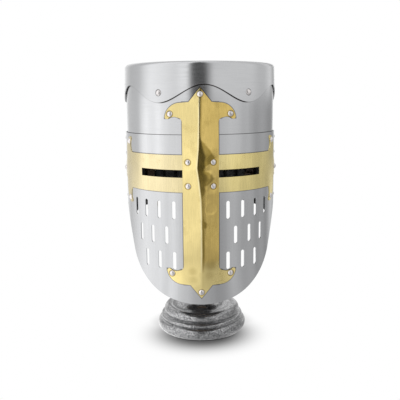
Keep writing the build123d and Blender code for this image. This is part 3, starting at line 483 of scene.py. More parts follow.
# Each smudge is x, depth, reach, soft edge and strength.
SMUDGES = [(-12, 279, 1, 8, 0.30), (-11, 290, 1, 8, 0.24), (13, 270, 2, 9, 0.42),
           (11, 284, 1, 9, 0.28)]
# The first colour is a painted highlight along the left edge of the ridge.
RIDGE_HIGHLIGHT, BUFFED, CAST_BRASS = (0.95, 0.85, 0.52), (0.98, 0.81, 0.36), (0.62, 0.45, 0.19)
# The second pair gives a ring of painted shade, with some tarnish, round each rivet of the cross.
ALONG_BRASS, CROSS_RIVET_SHADE = (3.0, 3.0, 0.2), (4.2, 0.9)


def flat_patch(f, x, depth, reach, soft):
    """A patch of the front round a place given by x and depth, whatever its y."""
    flat = f.node("VectorMath", {"operation": "MULTIPLY"}, {0: f.place(), 1: (1, 0, 1)})
    return f.near((x, 0, HELM_TOP - depth), reach, soft, flat)


def by_depth(f, table):
    """A table of (depth, value) pairs as a signal, carried by a ramp."""
    depths, values = zip(*table)
    low, rise = min(values), max(values) - min(values)
    start, span = depths[0], depths[-1] - depths[0]
    stops = [((at - start) / span, ((value - low) / rise,) * 3) for at, value in table]
    share = (millimetres(f)[2] - start) * (1 / span)
    return f.node("ValToRGB", {"stops": stops}, {"Fac": share}) * rise + low


def ridge_tarnish_and_shade(f, beside, clouds, side):
    """Tarnish by the ridge, in smudges and round the rivets; painted shade in the crease and round
    the rivets.
    """
    reach = by_depth(f, TARNISH)
    ragged = beside + (f.clouds(8, 3.0) - 0.5) * 7
    hollow = f.fade(ragged - reach, 2.5, -2.5) * f.fade(reach, 0.2, 3.0) * side
    hollow = hollow * f.fade(clouds, 0.30, 0.60, 0.65, 0.92)
    # Painted shade in the crease right of the ridge, and painted shade with some tarnish round
    # each rivet.
    crease = f.fade(beside, 0.0, 0.7) * f.fade(beside, 3.8, 2.2) * by_depth(f, CREASE_SHADE)
    rings = [flat_patch(f, *rivet, *CROSS_RIVET_SHADE) * 0.95 for rivet in CROSS_RIVETS]
    smudges = [flat_patch(f, *smudge) * strength for *smudge, strength in SMUDGES]
    return either(hollow, crease, *rings, *smudges)


def brass(name, along, left, right, age, shine=0.19, upright=False):
    """Brass painted paler on its lit left and deeper on its right, tarnished by age. The upright
    has a ridge too.
    """
    f = new_finish(name)
    x = millimetres(f)[0]
    streaks = f.clouds(4.5, 3.0, 0.65, along)
    rubbing = f.clouds(0.9, 2.0, 0.7, along)
    clouds = f.clouds(17, 4.0, 0.62)
    grime_and_shade = f.fade(clouds, 0.50, 0.72) * age
    # side goes from the left, painted pale as if lit, to the right, painted deeper as if in less
    # light: across the ridge on the upright, across the whole bar otherwise.
    if upright:
        beside = x - by_depth(f, RIDGE_WANDER)
        buffed = 1 - by_depth(f, LIT_FLANK_SHARE)
        side = f.fade(beside, -0.8, 0.8) * (1 - buffed)
    else:
        side = f.fade(x + (clouds - 0.5) * 20, -60, 60)
    deep = f.mix(side, toned(left, 0.93), toned(right, 0.9))
    base = f.mix(f.fade(streaks, 0.35, 0.65), deep, f.mix(side, left, right))
    if upright:
        # A painted highlight: a pale line along the left edge of the ridge.
        worn = f.fade(beside, -2.6, -1.0) * f.fade(beside, 0.3, -0.4) * (1 - buffed)
        base = f.mix(worn * 0.7, f.mix(buffed, base, BUFFED), RIDGE_HIGHLIGHT)
        # The upright adds painted shade in its crease and round its rivets to its tarnish.
        grime_and_shade = either(grime_and_shade, ridge_tarnish_and_shade(f, beside, clouds, side))
    # Brown is the colour of the tarnish and, on the upright, of the painted shade.
    brown = (right[0] * 0.42, right[1] * 0.40, right[2] * 0.26)
    normal = f.bump(streaks, 0.009, f.bump(f.clouds(30, 1.0), 0.18))
    return f.finish(Base_Color=f.mix(grime_and_shade, base, brown), Metallic=1.0,
                    Roughness=f.fade(clouds, 0.4, 0.7, shine, shine + 0.10),
                    Normal=f.bump(rubbing, 0.003, normal))


# Each brass gives its left colour, painted paler as if lit, and then its right, painted deeper as
# if in less light.
finishes["cross_bar"] = brass("brass_bar", ALONG_BRASS, (0.80, 0.69, 0.42), (1.0, 0.84, 0.37),
                              age=0.14)
upright_finish = brass("brass_upright", ALONG_BRASS, (0.78, 0.64, 0.285), (0.76, 0.56, 0.18),
                       age=0.2, upright=True)
buckle_finish = brass("buckle_brass", (1, 1, 1), CAST_BRASS, CAST_BRASS, age=0.8, shine=0.33)
print("tarnish reaches", max(reach for _, reach in TARNISH), "mm from the ridge")

# %% [markdown]
# ## Leather, cord, felt, wood and the cast foot
#
# The liner is thin black-brown leather with a fine pebbled grain and creases. The strap
# leather is thicker, waxed and smoother. The foot is cast and sprayed with hammered enamel,
# which gathers into light and dark specks under a clear gloss. The head is turned wood under a
# felt cap.

# %% Leather
def hide(name, colour, grain, shine, crease):
    """Leather with a pebbled grain, soft creases and a few rubbed places."""
    f = new_finish(name)
    pebbles = f.cells(grain)
    creases = f.clouds(9, 5.0, 0.6, (1, 1, 0.6))
    rubbed = f.fade(f.clouds(24, 3.0), 0.48, 0.7)
    worn = toned(colour, 1.9, 0.006)
    normal = f.bump(pebbles, 0.12, f.bump(creases, crease))
    return f.finish(Base_Color=f.mix(rubbed * f.fade(pebbles, 0.5, 0.2), colour, worn),
                    Roughness=f.fade(rubbed, 0, 1, shine, shine - 0.14),
                    Specular_IOR_Level=0.45, Normal=normal)


liner_finish = hide("liner_leather", (0.011, 0.010, 0.010), grain=1.5, shine=0.62, crease=0.9)
pad_finish = hide("pad_leather", (0.011, 0.0105, 0.0105), grain=1.8, shine=0.58, crease=1.2)
strap_finish = hide("strap_leather", (0.050, 0.030, 0.019), grain=1.1, shine=0.50, crease=0.5)
print("made:", liner_finish.name, pad_finish.name, strap_finish.name)

# %% Felt and cord
def fibres(name, colour, size, depth):
    """A dull tangle of fibres with paler lint."""
    f = new_finish(name)
    tangle = f.clouds(size, 6.0, 0.75)
    lint = f.fade(f.clouds(size * 5, 4.0, 0.7), 0.45, 0.75)
    return f.finish(Base_Color=f.mix(lint, colour, toned(colour, 1.8, 0.01)), Roughness=0.95,
                    Specular_IOR_Level=0.15, Sheen_Weight=0.25,
                    Normal=f.bump(tangle, depth))


felt_finish = fibres("felt", (0.055, 0.055, 0.060), size=1.2, depth=0.6)
cord_finish = fibres("lace_cord", (0.26, 0.205, 0.14), size=0.6, depth=0.15)
print("made:", felt_finish.name, cord_finish.name)

# %% Cast enamel
DARK_SPECK, SILVER = (0.042, 0.044, 0.048), (0.61, 0.61, 0.615)


def cast_enamel():
    """Silver hammered enamel: fine specks of light and dark under a gloss."""
    f = new_finish("stand_casting")
    specks = f.clouds(1.1, 2.0, 0.8)
    dapple = f.cells(3.0)
    tone = f.fade(specks * 0.9 + dapple * 0.1, 0.41, 0.59)
    return f.finish(Base_Color=f.mix(tone, DARK_SPECK, SILVER), Metallic=0.9,
                    Roughness=f.fade(tone, 0, 1, 0.28, 0.22), Coat_Weight=1.0,
                    Coat_Roughness=0.05, Normal=f.bump(specks, 0.02, f.bump(dapple, 0.012)))


casting_finish = cast_enamel()
print("made:", casting_finish.name)

# %% Turned wood
HEART, RINGS_PER_METRE = (-31 * MM, 12 * MM), 330
EARLY_WOOD, LATE_WOOD, PORES = (0.47, 0.29, 0.145), (0.25, 0.125, 0.052), (0.13, 0.065, 0.03)


def turned_wood():
    """Straight-grained wood turned across its rings, then oiled."""
    f = new_finish("head_wood")
    x, y = f.axes((1, 1, 0.08))[:2]
    bend = f.clouds(60, 2.0, 0.5, (1, 1, 0.25))
    ring = away_from(x, y, HEART) * RINGS_PER_METRE + bend * 2.2
    late = f.fade(ring.maths("FRACT"), 0.45, 0.96)
    pores = f.fade(f.clouds(0.8, 2.0, 0.6, (1, 1, 0.07)), 0.58, 0.72)
    base = f.mix(late, EARLY_WOOD, LATE_WOOD)
    return f.finish(Base_Color=f.mix(pores * 0.7, base, PORES),
                    Roughness=f.fade(late, 0, 1, 0.46, 0.36), Specular_IOR_Level=0.4,
                    Normal=f.bump(late - pores, 0.05))


wood_finish = turned_wood()
print("made:", wood_finish.name)

# %% Give each CAD piece its finish
by_slot = {"rivet_steel": rivet_finish, "fixing_steel": fixing_finish,
           "buckle_brass": buckle_finish, "stand_casting": casting_finish,
           "head_wood": wood_finish, "liner_leather": liner_finish,
           "strap_leather": strap_finish, "lace_cord": cord_finish, "stand_felt": felt_finish}
for name, node in nodes.items():
    finish = finishes.get(name) or by_slot.get(slot_of_node[name])
    if finish:
        node.data.materials.clear()
        node.data.materials.append(finish)
print("finished nodes:", sum(bool(node.data.materials) for node in nodes.values()))

# %% [markdown]
# ## Helpers for new pieces
#
# A new piece starts as a bmesh and becomes an object at the origin, with its place in its
# mesh. `add_piece` does that, gives it a finish, makes it ride on its body and hides the CAD
# nodes it stands for. A piece given a bend rides on no body and stays fixed where it is. The
# other helpers are bench jobs that several pieces share.

# %% Bench jobs
def to_object(name, bm):
    """An object in the scene that holds the bmesh as its mesh."""
    mesh = bpy.data.meshes.new(name)
    bm.to_mesh(mesh)
    bm.free()
    made = bpy.data.objects.new(name, mesh)
    bpy.context.scene.collection.objects.link(made)
    return made


def shaped(bm, modifiers):
    """The bmesh after a list of modifiers, each a kind and its settings."""
    holder = to_object("shaping", bm)
    for kind, settings in modifiers:
        modifier = holder.modifiers.new(kind, kind)
        for name, value in settings.items():
            setattr(modifier, name, value)
    bpy.context.view_layer.update()
    done = holder.evaluated_get(bpy.context.evaluated_depsgraph_get())
    result = bmesh.new()
    result.from_mesh(done.to_mesh())
    done.to_mesh_clear()
    bpy.data.objects.remove(holder)
    return result


def lift(bm, grown, height):
    """Raise the points that an extrusion has made."""
    moved = [part for part in grown["geom"] if isinstance(part, bmesh.types.BMVert)]
    bmesh.ops.translate(bm, vec=(0, 0, height), verts=moved)


def round_rim(bm, radius, segments):
    """Round every square edge."""
    rim = [edge for edge in bm.edges if edge.calc_face_angle(0) > 1]
    bmesh.ops.bevel(bm, geom=rim, offset=radius, segments=segments, profile=0.5,
                    affect="EDGES", material=-1)


# %% Add a piece
SHARP_ANGLE = 40


def add_piece(name, bm, finish, body, stands_for, bend=None):
    """Turn a bmesh into a shown piece that rides on a body, or, given a bend, stays fixed in
    place.
    """
    bmesh.ops.recalc_face_normals(bm, faces=bm.faces)
    piece = to_object(name, bm)
    mesh = piece.data
    mesh.materials.append(finish)
    mesh.shade_smooth()
    mesh.set_sharp_from_angle(angle=math.radians(SHARP_ANGLE))
    if bend:
        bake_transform(piece)
    else:
        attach(piece, body)
    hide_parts(*stands_for)
    print(name, "faces:", len(mesh.polygons))
    return piece


# %% [markdown]
# ## The upright of the cross
#
# The upright is brass sheet, sawn to a point and two hooked lobes at each end, then hammered
# over a stake so that a ridge stands up its middle. The ridge wanders, the flank beside it is
# bruised flat at the crossing, and the hammer left shallow facets. The same order is followed
# here: the outline is drawn by spinning single points, cut out of a finely divided flat sheet
# with a Boolean, and then every point of the sheet is pushed to where the hammered brass lies.

# %% Draw the outline
LOBE_REACH, LOBE_DROP, LOBE_FILLET, LOBE_NECK = 31.5, 21.5, 6, 44.4


def draw_arc(bm, start, through, end, steps):
    """Spin a point of the outline along the circle through three points."""
    a, b, c = (Vector(point).to_3d() for point in (start, through, end))
    ab, ac = b - a, c - a
    normal = ab.cross(ac)
    centre = a + (normal.cross(ab) * ac.length_squared + ac.cross(normal) * ab.length_squared) \
        / (2 * normal.length_squared)
    angle = (a - centre).angle(b - centre) + (b - centre).angle(c - centre)
    bmesh.ops.spin(bm, geom=[bm.verts.new(a)], cent=centre, axis=normal.normalized(),
                   angle=angle, steps=steps, use_merge=False)


def lobe_point(share_across, share_down):
    """A point of the lobe, from shares of the way to its reach and drop."""
    return POINT_HALF + LOBE_REACH * share_across, POINT_LONG + LOBE_DROP * share_down


knee, tip, under = lobe_point(0.46, 0.05), lobe_point(1.0, 0.84), lobe_point(0.84, 0.97)
web, inner = (UPRIGHT_HALF + LOBE_FILLET, LOBE_NECK - LOBE_FILLET), (UPRIGHT_HALF, LOBE_NECK)
diagonal = LOBE_FILLET * math.sin(math.pi / 4)
inside_fillet = (UPRIGHT_HALF + LOBE_FILLET - diagonal, LOBE_NECK - diagonal)
shoulder, middle = (POINT_HALF, POINT_LONG), (CROSS_BOTTOM - CROSS_TOP) / 2
outline = bmesh.new()
for start, stop in (((0, 0), shoulder), (shoulder, knee), (inner, (UPRIGHT_HALF, middle))):
    outline.edges.new([outline.verts.new((*start, 0)), outline.verts.new((*stop, 0))])
draw_arc(outline, knee, lobe_point(0.86, 0.40), tip, 12)
draw_arc(outline, tip, lobe_point(0.965, 1.0), under, 6)
draw_arc(outline, under, lobe_point(0.62, 0.88), web, 6)
draw_arc(outline, web, inside_fillet, inner, 6)
bmesh.ops.translate(outline, vec=(0, -middle, 0), verts=outline.verts)
for axis in ("X", "Y"):
    everything = outline.verts[:] + outline.edges[:]
    bmesh.ops.mirror(outline, geom=everything, axis=axis, merge_dist=0.001)
bmesh.ops.remove_doubles(outline, verts=outline.verts, dist=0.01)
bmesh.ops.contextual_create(outline, geom=outline.edges[:])
print("outline:", len(outline.verts), "points,", len(outline.faces), "face")

# %% Cut the sheet
BRASS, SHEET_WIDTH, SHEET_SPARE, SHEET_CELL, CUT_DEEP = 0.8, 98, 4, 1.4, 40


def cut_sheet(outline, width, height, thick, cell):
    """A sheet of small square cells, cut to an outline. Its front is at z = 0."""
    lift(outline, bmesh.ops.extrude_face_region(outline, geom=outline.faces[:]), CUT_DEEP)
    bmesh.ops.translate(outline, vec=(0, 0, -CUT_DEEP / 2), verts=outline.verts)
    bmesh.ops.recalc_face_normals(outline, faces=outline.faces)
    cutter = to_object("cutter", outline)
    sheet = bmesh.new()
    bmesh.ops.create_grid(sheet, x_segments=round(width / cell),
                          y_segments=round(height / cell), size=0.5)
    bmesh.ops.scale(sheet, vec=(width, height, 1), verts=sheet.verts)
    bmesh.ops.solidify(sheet, geom=sheet.faces[:], thickness=thick)
    bmesh.ops.recalc_face_normals(sheet, faces=sheet.faces)
    cut = shaped(sheet, [("BOOLEAN", {"object": cutter, "operation": "INTERSECT",
                                      "solver": "EXACT"})])
    bpy.data.objects.remove(cutter)
    top = max(vert.co.z for vert in cut.verts)
    bmesh.ops.translate(cut, vec=(0, 0, -top), verts=cut.verts)
    return cut


upright = cut_sheet(outline, SHEET_WIDTH, CROSS_BOTTOM - CROSS_TOP + SHEET_SPARE, BRASS,
                    SHEET_CELL)
print("upright sheet:", len(upright.faces), "faces")

# %% Where the hammered brass lies
# The plates under the brass step outwards, and it bridges each step by a margin.
GAP, MARGIN = 0.1, 2.0
WALL = [(CROSS_TOP - MARGIN, UPPER_OUT), (SEAM_DEPTH - MARGIN, FACE_OUT),
        (CROSS_DEPTH - ARM_HALF - MARGIN, BAR_OUT), (CROSS_DEPTH + ARM_HALF + MARGIN, BAR_OUT),
        (CROSS_BOTTOM + MARGIN, FACE_OUT)]
BRUISE_WIDTH = [(CROSS_TOP, 0.6), (60, 1.4), (92, 2.0), (102, 4), (112, 8), (122, 13),
                (131, 16), (140, 9), (149, 14), (157, 15), (166, 8), (176, 5), (198, 5),
                (211, 6), (224, 4), (238, 2.0), (290, 1.4), (CROSS_BOTTOM, 0.6)]
BRUISE_SLOPE, BRUISE_BEND, BRUISE_LIMIT, LEFT_BRUISE, CAD_BRUISE = 0.10, 0.7, 0.8, 0.5, 1.2
KEEL_HEIGHT, KEEL_PEAK_SHARE, KEEL_RISE, KEEL_SWELL = 10.5, 0.42, 1.3, 6
# Each facet noise is its depth, its size across and down, and a seed.
FACETS = [(0.32, 14, 17, 7.0), (0.03, 6, 7, 4.0)]
RIVET_SEAT, SEAT_BLEND = 4, 7
DENT, DENT_RADIUS, DENT_DEEP, DENT_LIP, LIP_HALF = (13.3, 192), 8, 0.45, 0.30, 1.3
FOREMOST = -cad_box[0][1] / MM - HALF_RUN - 0.01


def read_off(table, depth):
    """Read a table of (depth, value) pairs, with straight lines between them."""
    for (near, first), (far, second) in zip(table, table[1:]):
        if depth <= far:
            return first + (second - first) * (depth - near) / (far - near)
    return table[-1][1]


def keel_at(depth):
    """The keel's height and half breadth, as the CAD has them."""
    share = min(max((depth - CROSS_TOP) / (CROSS_BOTTOM - CROSS_TOP), 0.0), 1.0)
    bend = math.log(0.5) / math.log(KEEL_PEAK_SHARE)
    height = max(math.sin(math.pi * share ** bend), 0) ** KEEL_RISE
    breadth = 1 - (1 - math.sin(math.pi * share)) ** KEEL_SWELL
    return height * KEEL_HEIGHT, max(breadth * (UPRIGHT_HALF - GAP), 0.01)


def past(value):
    """A value where it is over zero, and nearly nothing under it, with a soft bend between."""
    return BRUISE_BEND * math.log(1 + math.exp(min(value / BRUISE_BEND, 40)))


def flank(reach, width):
    """How far a flank has fallen at a reach from the ridge, with a bruised strip beside it."""
    return BRUISE_SLOPE * reach + (1 - BRUISE_SLOPE) * (past(reach - width) - past(-width))


def brass_front(x, depth, wander, bruise):
    """How far the brass stands in front of the half circle's centre, in millimetres."""
    wall = read_off(WALL, depth) + GAP + BRASS
    plain = math.sqrt(wall ** 2 - x ** 2)
    height, breadth = keel_at(depth)
    if abs(x) >= breadth or height < 0.05:
        return plain
    apex, edge = wall + height, math.sqrt(wall ** 2 - breadth ** 2)
    side = 1 if x > wander else -1
    width = min(bruise if side > 0 else LEFT_BRUISE, breadth * BRUISE_LIMIT)
    fallen = flank(abs(x - wander), width) / flank(abs(side * breadth - wander), width)
    return max(plain, apex - (apex - edge) * fallen)


def hammered(x, depth):
    """The front of the brass with its wandering ridge, bruises and facets, none past the CAD."""
    calm = min(math.dist((x, depth), rivet) for rivet in CROSS_RIVETS)
    calm = min(max((calm - RIVET_SEAT) / SEAT_BLEND, 0), 1)
    wobble = noise.noise(Vector((x / 9, depth / 9, 2.0))) * 0.25 + 1.0
    true = brass_front(x, depth, 0, CAD_BRUISE)
    bruise = read_off(BRUISE_WIDTH, depth) * wobble
    made = brass_front(x, depth, read_off(RIDGE_WANDER, depth), bruise)
    for deep, wide, tall, seed in FACETS:
        made += deep * noise.noise(Vector((x / wide, depth / tall, seed)))
    rim = math.dist((x, depth), DENT) - DENT_RADIUS
    made += DENT_LIP * math.exp(-(rim / LIP_HALF) ** 2) - DENT_DEEP / (1 + math.exp(rim))
    return min(true + (made - true) * calm, FOREMOST)


print("widest bruise:", max(width for _, width in BRUISE_WIDTH), "mm")

# %% Hammer it to shape
for vert in upright.verts:
    across, depth = vert.co.x, (CROSS_TOP + CROSS_BOTTOM) / 2 - vert.co.y
    front = hammered(across, depth) + vert.co.z
    vert.co = Vector((across, -HALF_RUN - front, HELM_TOP - depth)) * MM
add_piece("hammered_upright", upright, upright_finish, "helm", ["cross_upright"])

# %% [markdown]
# ## Leather and felt from the CAD solids
#
# Leather and felt have no sharp corners: every cut edge is soft and the surface is never quite
# flat. The CAD has these pieces as plain solids, so a copy of each is remeshed into small even
# cells, which rounds its edges, and is then pushed a little by a function of its own: a wrinkle
# for a strap, puffed channels for the pad.

# %% Soften a copy of a solid
def softened(node, cell, push):
    """A bmesh in metres: the node's solid in even cells, each point moved by push, in mm."""
    bm = bmesh.new()
    bm.from_mesh(nodes[node].data)
    bmesh.ops.scale(bm, vec=(1 / MM,) * 3, verts=bm.verts)
    bmesh.ops.remove_doubles(bm, verts=bm.verts, dist=0.001)
    bm = shaped(bm, [("REMESH", {"mode": "VOXEL", "voxel_size": cell}),
                     ("SMOOTH", {"factor": 0.5, "iterations": 2})])
    bm.normal_update()
    for vert in bm.verts:
        vert.co += push(vert.co, vert.normal)
    bmesh.ops.scale(bm, vec=(MM,) * 3, verts=bm.verts)
    return bm


def wrinkle(size, depth):
    """Push each point by soft noise, nearly always inwards, so the piece stays in its solid."""
    def push(place, normal):
        lump = noise.noise(place / size) * 0.7 + noise.noise(place / (size / 2.6)) * 0.3
        return normal * depth * (lump - 0.75)
    return push


# %% Straps, tabs and keepers
STRAP_CELL, STRAP_X, STRAP_Y, BEND_TOP, BEND_BOTTOM = 0.45, 81.2, 60.2, 250.0, 238.5

for node, body in (("strap_tabs", "helm"), ("left_keeper", "buckle_strap"),
                   ("right_keeper", "plain_strap")):
    add_piece(node + "_leather", softened(node, STRAP_CELL, wrinkle(size=5, depth=0.12)),
              strap_finish, body, [node])
for node, body, side in (("strap_left", "buckle_strap", -1), ("strap_right", "plain_strap", 1)):
    # root and bent mark the top of a strap and the point 11.5 mm below it, where leather
    # bends; the strap itself stays fixed in place.
    root, bent = ((side * STRAP_X * MM, STRAP_Y * MM, height * MM)
                  for height in (BEND_TOP, BEND_BOTTOM))
    add_piece(node + "_leather", softened(node, STRAP_CELL, wrinkle(size=6, depth=0.12)),
              strap_finish, "helm", [node], bend=(body, root, bent))

# %% [markdown]
# ## The head band
#
# A strip of leather runs round the inside of the rolled plate and is held by the rivets of the
# cap. Its two ends meet at the nape. It is one long strip on the bench, so it is made flat here
# too, with its rim rounded, and is then rolled round the same oval.

# %% Roll a strip round the oval
BAND_MIDDLE, BAND_THICK, BAND_JOIN, BAND_RIM = 104.9, 2.0, 0.8, 0.6
BAND_TOP, BAND_BOTTOM, BAND_SAG = 32, 100, 0.5
CELLS_ROUND, CELLS_DOWN = 240, 22

band_length = math.tau * BAND_MIDDLE + 4 * HALF_RUN - BAND_JOIN
band = bmesh.new()
bmesh.ops.create_grid(band, x_segments=CELLS_ROUND, y_segments=CELLS_DOWN, size=0.5)
bmesh.ops.scale(band, vec=(band_length, BAND_BOTTOM - BAND_TOP, 1), verts=band.verts)
bmesh.ops.solidify(band, geom=band.faces[:], thickness=BAND_THICK)
round_rim(band, BAND_RIM, 2)
low = min(vert.co.z for vert in band.verts)
band_height = HELM_TOP - (BAND_TOP + BAND_BOTTOM) / 2
for vert in band.verts:
    arc, rise = vert.co.x, vert.co.y
    out = vert.co.z - low - BAND_THICK / 2
    out -= BAND_SAG * max(noise.noise(Vector((arc / 30, rise / 40, 3.0))), 0)
    vert.co = oval_place(arc, BAND_MIDDLE, out, band_height + rise) * MM
add_piece("head_band", band, liner_finish, "helm", ["liner_band"])

# %% [markdown]
# ## The crown tongues and their lace
#
# Six leather tongues curve in from the band and are drawn together by a lace over the crown of
# the head, which sets how deep the helm sits. The lace is three strands of waxed linen laid up
# like rope in a closed ring. Each strand is a curve wound round the ring.

# %% Tongues
add_piece("crown_tongues", softened("liner_tongues", 1.05, wrinkle(size=12, depth=0.30)),
          liner_finish, "helm", ["liner_tongues"])

# %% Lace
LACE_APOTHEM, LACE_CORNERS, LACE_CORNER_CUT, LACE_TURN = 26.0, 6, 4.6, 30
LACE_THICK, LACE_PITCH, LACE_POINTS = 3.4, 11.0, 160
STRAND_RADIUS, STRAND_OUT = LACE_THICK * 0.27, LACE_THICK * 0.23


def lace_ring():
    """Evenly spaced points round a hexagon with rounded corners, in mm, and its length."""
    ring = bmesh.new()
    bmesh.ops.create_circle(ring, segments=LACE_CORNERS,
                            radius=LACE_APOTHEM / math.cos(math.pi / LACE_CORNERS))
    bmesh.ops.bevel(ring, geom=ring.verts[:], offset=LACE_CORNER_CUT, segments=6, profile=0.5,
                    affect="VERTICES", material=-1)
    points = sorted((vert.co.copy() for vert in ring.verts),
                    key=lambda point: math.atan2(point.y, point.x))
    ring.free()
    points.append(points[0])
    lengths = [(b - a).length for a, b in zip(points, points[1:])]
    even, walked, leg = [], 0.0, 0
    for step in range(LACE_POINTS):
        target = sum(lengths) * step / LACE_POINTS
        while walked + lengths[leg] < target:
            walked += lengths[leg]
            leg += 1
        even.append(points[leg].lerp(points[leg + 1], (target - walked) / lengths[leg]))
    return even, sum(lengths)


low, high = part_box("liner_lace")
lace_centre = (low + high) / 2
path, around = lace_ring()
lace = bpy.data.curves.new("lace_strands", "CURVE")
lace.dimensions = "3D"
lace.bevel_depth = STRAND_RADIUS * MM
lace.bevel_resolution = 2
turns = round(around / LACE_PITCH)
turn_of_ring = Matrix.Rotation(math.radians(LACE_TURN), 3, "Z")
for strand in range(3):
    spline = lace.splines.new("POLY")
    spline.points.add(len(path) - 1)
    spline.use_cyclic_u = True
    for index, point in enumerate(path):
        angle = math.tau * (turns * index / len(path) + strand / 3)
        out = point.normalized() * math.cos(angle) + Vector((0, 0, math.sin(angle)))
        place = (turn_of_ring @ (point + out * STRAND_OUT)) * MM + lace_centre
        spline.points[index].co = (*place, 1)
holder = bpy.data.objects.new("lace_curve", lace)
bpy.context.scene.collection.objects.link(holder)
bpy.context.view_layer.update()
lace_bm = bmesh.new()
lace_bm.from_mesh(bpy.data.meshes.new_from_object(holder))
bpy.data.objects.remove(holder)
add_piece("crown_lace", lace_bm, cord_finish, "helm", ["liner_lace"])

# %% [markdown]
# ## The nape pad
#
# Behind the neck and ears lies a quilted pad: two layers of leather sewn in upright channels
# over wool. Between the seams it puffs, at the seams and the rim it is pinched. The thickness
# of the remeshed solid is scaled: full between the seams, under half on them.

# %% Quilt the pad
PAD_OUT, PAD_CHANNEL = 107.0, 24.0
SEAM_PINCH, SEAM_REACH = 0.58, 2.6
RIM_PINCH, RIM_REACH = 0.55, 3.2

low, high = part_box("nape_pad")
pad_low, pad_high = low.z / MM, high.z / MM


def quilt(place, normal):
    """Pinch the pad's thickness at its seams and its rim."""
    centre = Vector((0, HALF_RUN, 0)) if place.y > HALF_RUN else Vector((0, place.y, 0))
    flat = Vector((place.x, place.y, 0)) - centre
    angle = math.atan2(abs(place.x), max(place.y - HALF_RUN, 0))
    arc = angle * PAD_OUT + max(HALF_RUN - place.y, 0)
    from_seam = abs((arc / PAD_CHANNEL + 0.5) % 1 - 0.5) * PAD_CHANNEL
    pinch = SEAM_PINCH * math.exp(-(from_seam / SEAM_REACH) ** 2)
    from_rim = max(min(place.z - pad_low, pad_high - place.z, max(place.y, 0) + 0.6), 0)
    round_off = 1 - RIM_PINCH * math.exp(-from_rim / RIM_REACH)
    lump = 1 + 0.06 * noise.noise(place / 9)
    deep = PAD_OUT - flat.length
    return flat.normalized() * deep * (1 - min((1 - pinch) * round_off * lump, 1))


pad = add_piece("quilted_pad", softened("nape_pad", 1.7, quilt), pad_finish, "helm", ["nape_pad"])

# %% [markdown]
# ## Felts
#
# A cap of grey felt is glued over the wooden head so that it doesn't mark the leather, and a
# felt disc under the foot protects the table.

# %% Felt cap and felt disc
DISC_RADIUS, DISC_THICK, DISC_RIM = 63.4, 1.5, 0.5

add_piece("head_cap", softened("head_felt", 1.3, wrinkle(size=7, depth=0.25)), felt_finish,
          "stand", ["head_felt"])
disc = bmesh.new()
bmesh.ops.create_circle(disc, cap_ends=True, segments=96, radius=DISC_RADIUS)
lift(disc, bmesh.ops.extrude_face_region(disc, geom=disc.faces[:]), DISC_THICK)
round_rim(disc, DISC_RIM, 3)
bmesh.ops.scale(disc, vec=(MM,) * 3, verts=disc.verts)
add_piece("foot_disc", disc, felt_finish, "stand", ["foot_felt"])

# %% [markdown]
# ## The studio
#
# Polished metal shows the room more than itself. The photograph was taken on a white table,
# with a soft light at the left, a weaker one at the right and the dark of the camera in the
# middle: the upright stripes on the steel are these. A tall round screen stands for that room.
# Its tone goes by direction, from tables of (degrees right of straight ahead, tone) for three
# heights, and only reflections see it.

# %% Tones of the room
ROOM_HIGH = [(-180, 0.86), (-166, 0.42), (-152, 1.10), (-136, 0.90), (-118, 0.70), (-92, 0.78),
             (-80, 1.12), (-70, 1.32), (-50, 1.22), (-32, 1.04), (-24, 1.20), (-17, 1.24),
             (-12, 0.80), (14, 0.80), (20, 0.88), (76, 0.88), (90, 0.74), (104, 0.72),
             (122, 0.94), (140, 0.46), (154, 1.20), (170, 0.62)]
ROOM_LOW = [(-180, 0.80), (-165, 0.45), (-150, 0.98), (-130, 0.72), (-108, 1.05), (-84, 1.32),
            (-66, 1.20), (-54, 1.22), (-47, 1.02), (-38, 1.22), (-26, 0.90), (-8, 0.72),
            (8, 0.58), (20, 0.42), (28, 0.45), (42, 0.66), (50, 0.63), (58, 0.50), (74, 0.55),
            (86, 0.42), (98, 0.50), (112, 0.36), (128, 0.80), (146, 0.50), (164, 0.92)]
ROOM_MIDDLE = [(-180, 0.83), (-165, 0.44), (-151, 1.03), (-136, 0.74), (-121, 0.76), (-110, 0.76),
               (-100, 0.78), (-91, 1.24), (-82, 1.50), (-74, 1.32), (-67, 1.29), (-60, 1.48),
               (-53, 1.33), (-46, 1.13), (-39, 1.08), (-24, 1.05), (-17, 1.00), (-12, 0.78),
               (8, 0.68), (20, 0.64), (41, 0.82), (54, 0.76), (61, 0.63), (69, 0.68), (84, 0.46),
               (102, 0.53), (113, 0.46), (125, 0.38), (140, 0.37), (154, 0.93), (170, 0.79)]
print("tones of the room:", len(ROOM_LOW + ROOM_MIDDLE + ROOM_HIGH))

# %% The screen that reflections see
BRIGHTEST, SCREEN_RADIUS, SCREEN_HEIGHT = 1.5, 0.62, 2.4
TO_MIDDLE, TO_HIGH = (0.13, 0.23), (0.33, 0.40)
LENS_LEFT, LENS_RIGHT, LENS_DARK = (-16, -8), (19, 4), 0.88
LENS_LOW, LENS_LOW_SHARE = (0.04, 0.24), 0.15


def heading(angle):
    """Degrees from straight ahead as a share of a full turn, with straight ahead at a half."""
    return angle / 360 + 0.5


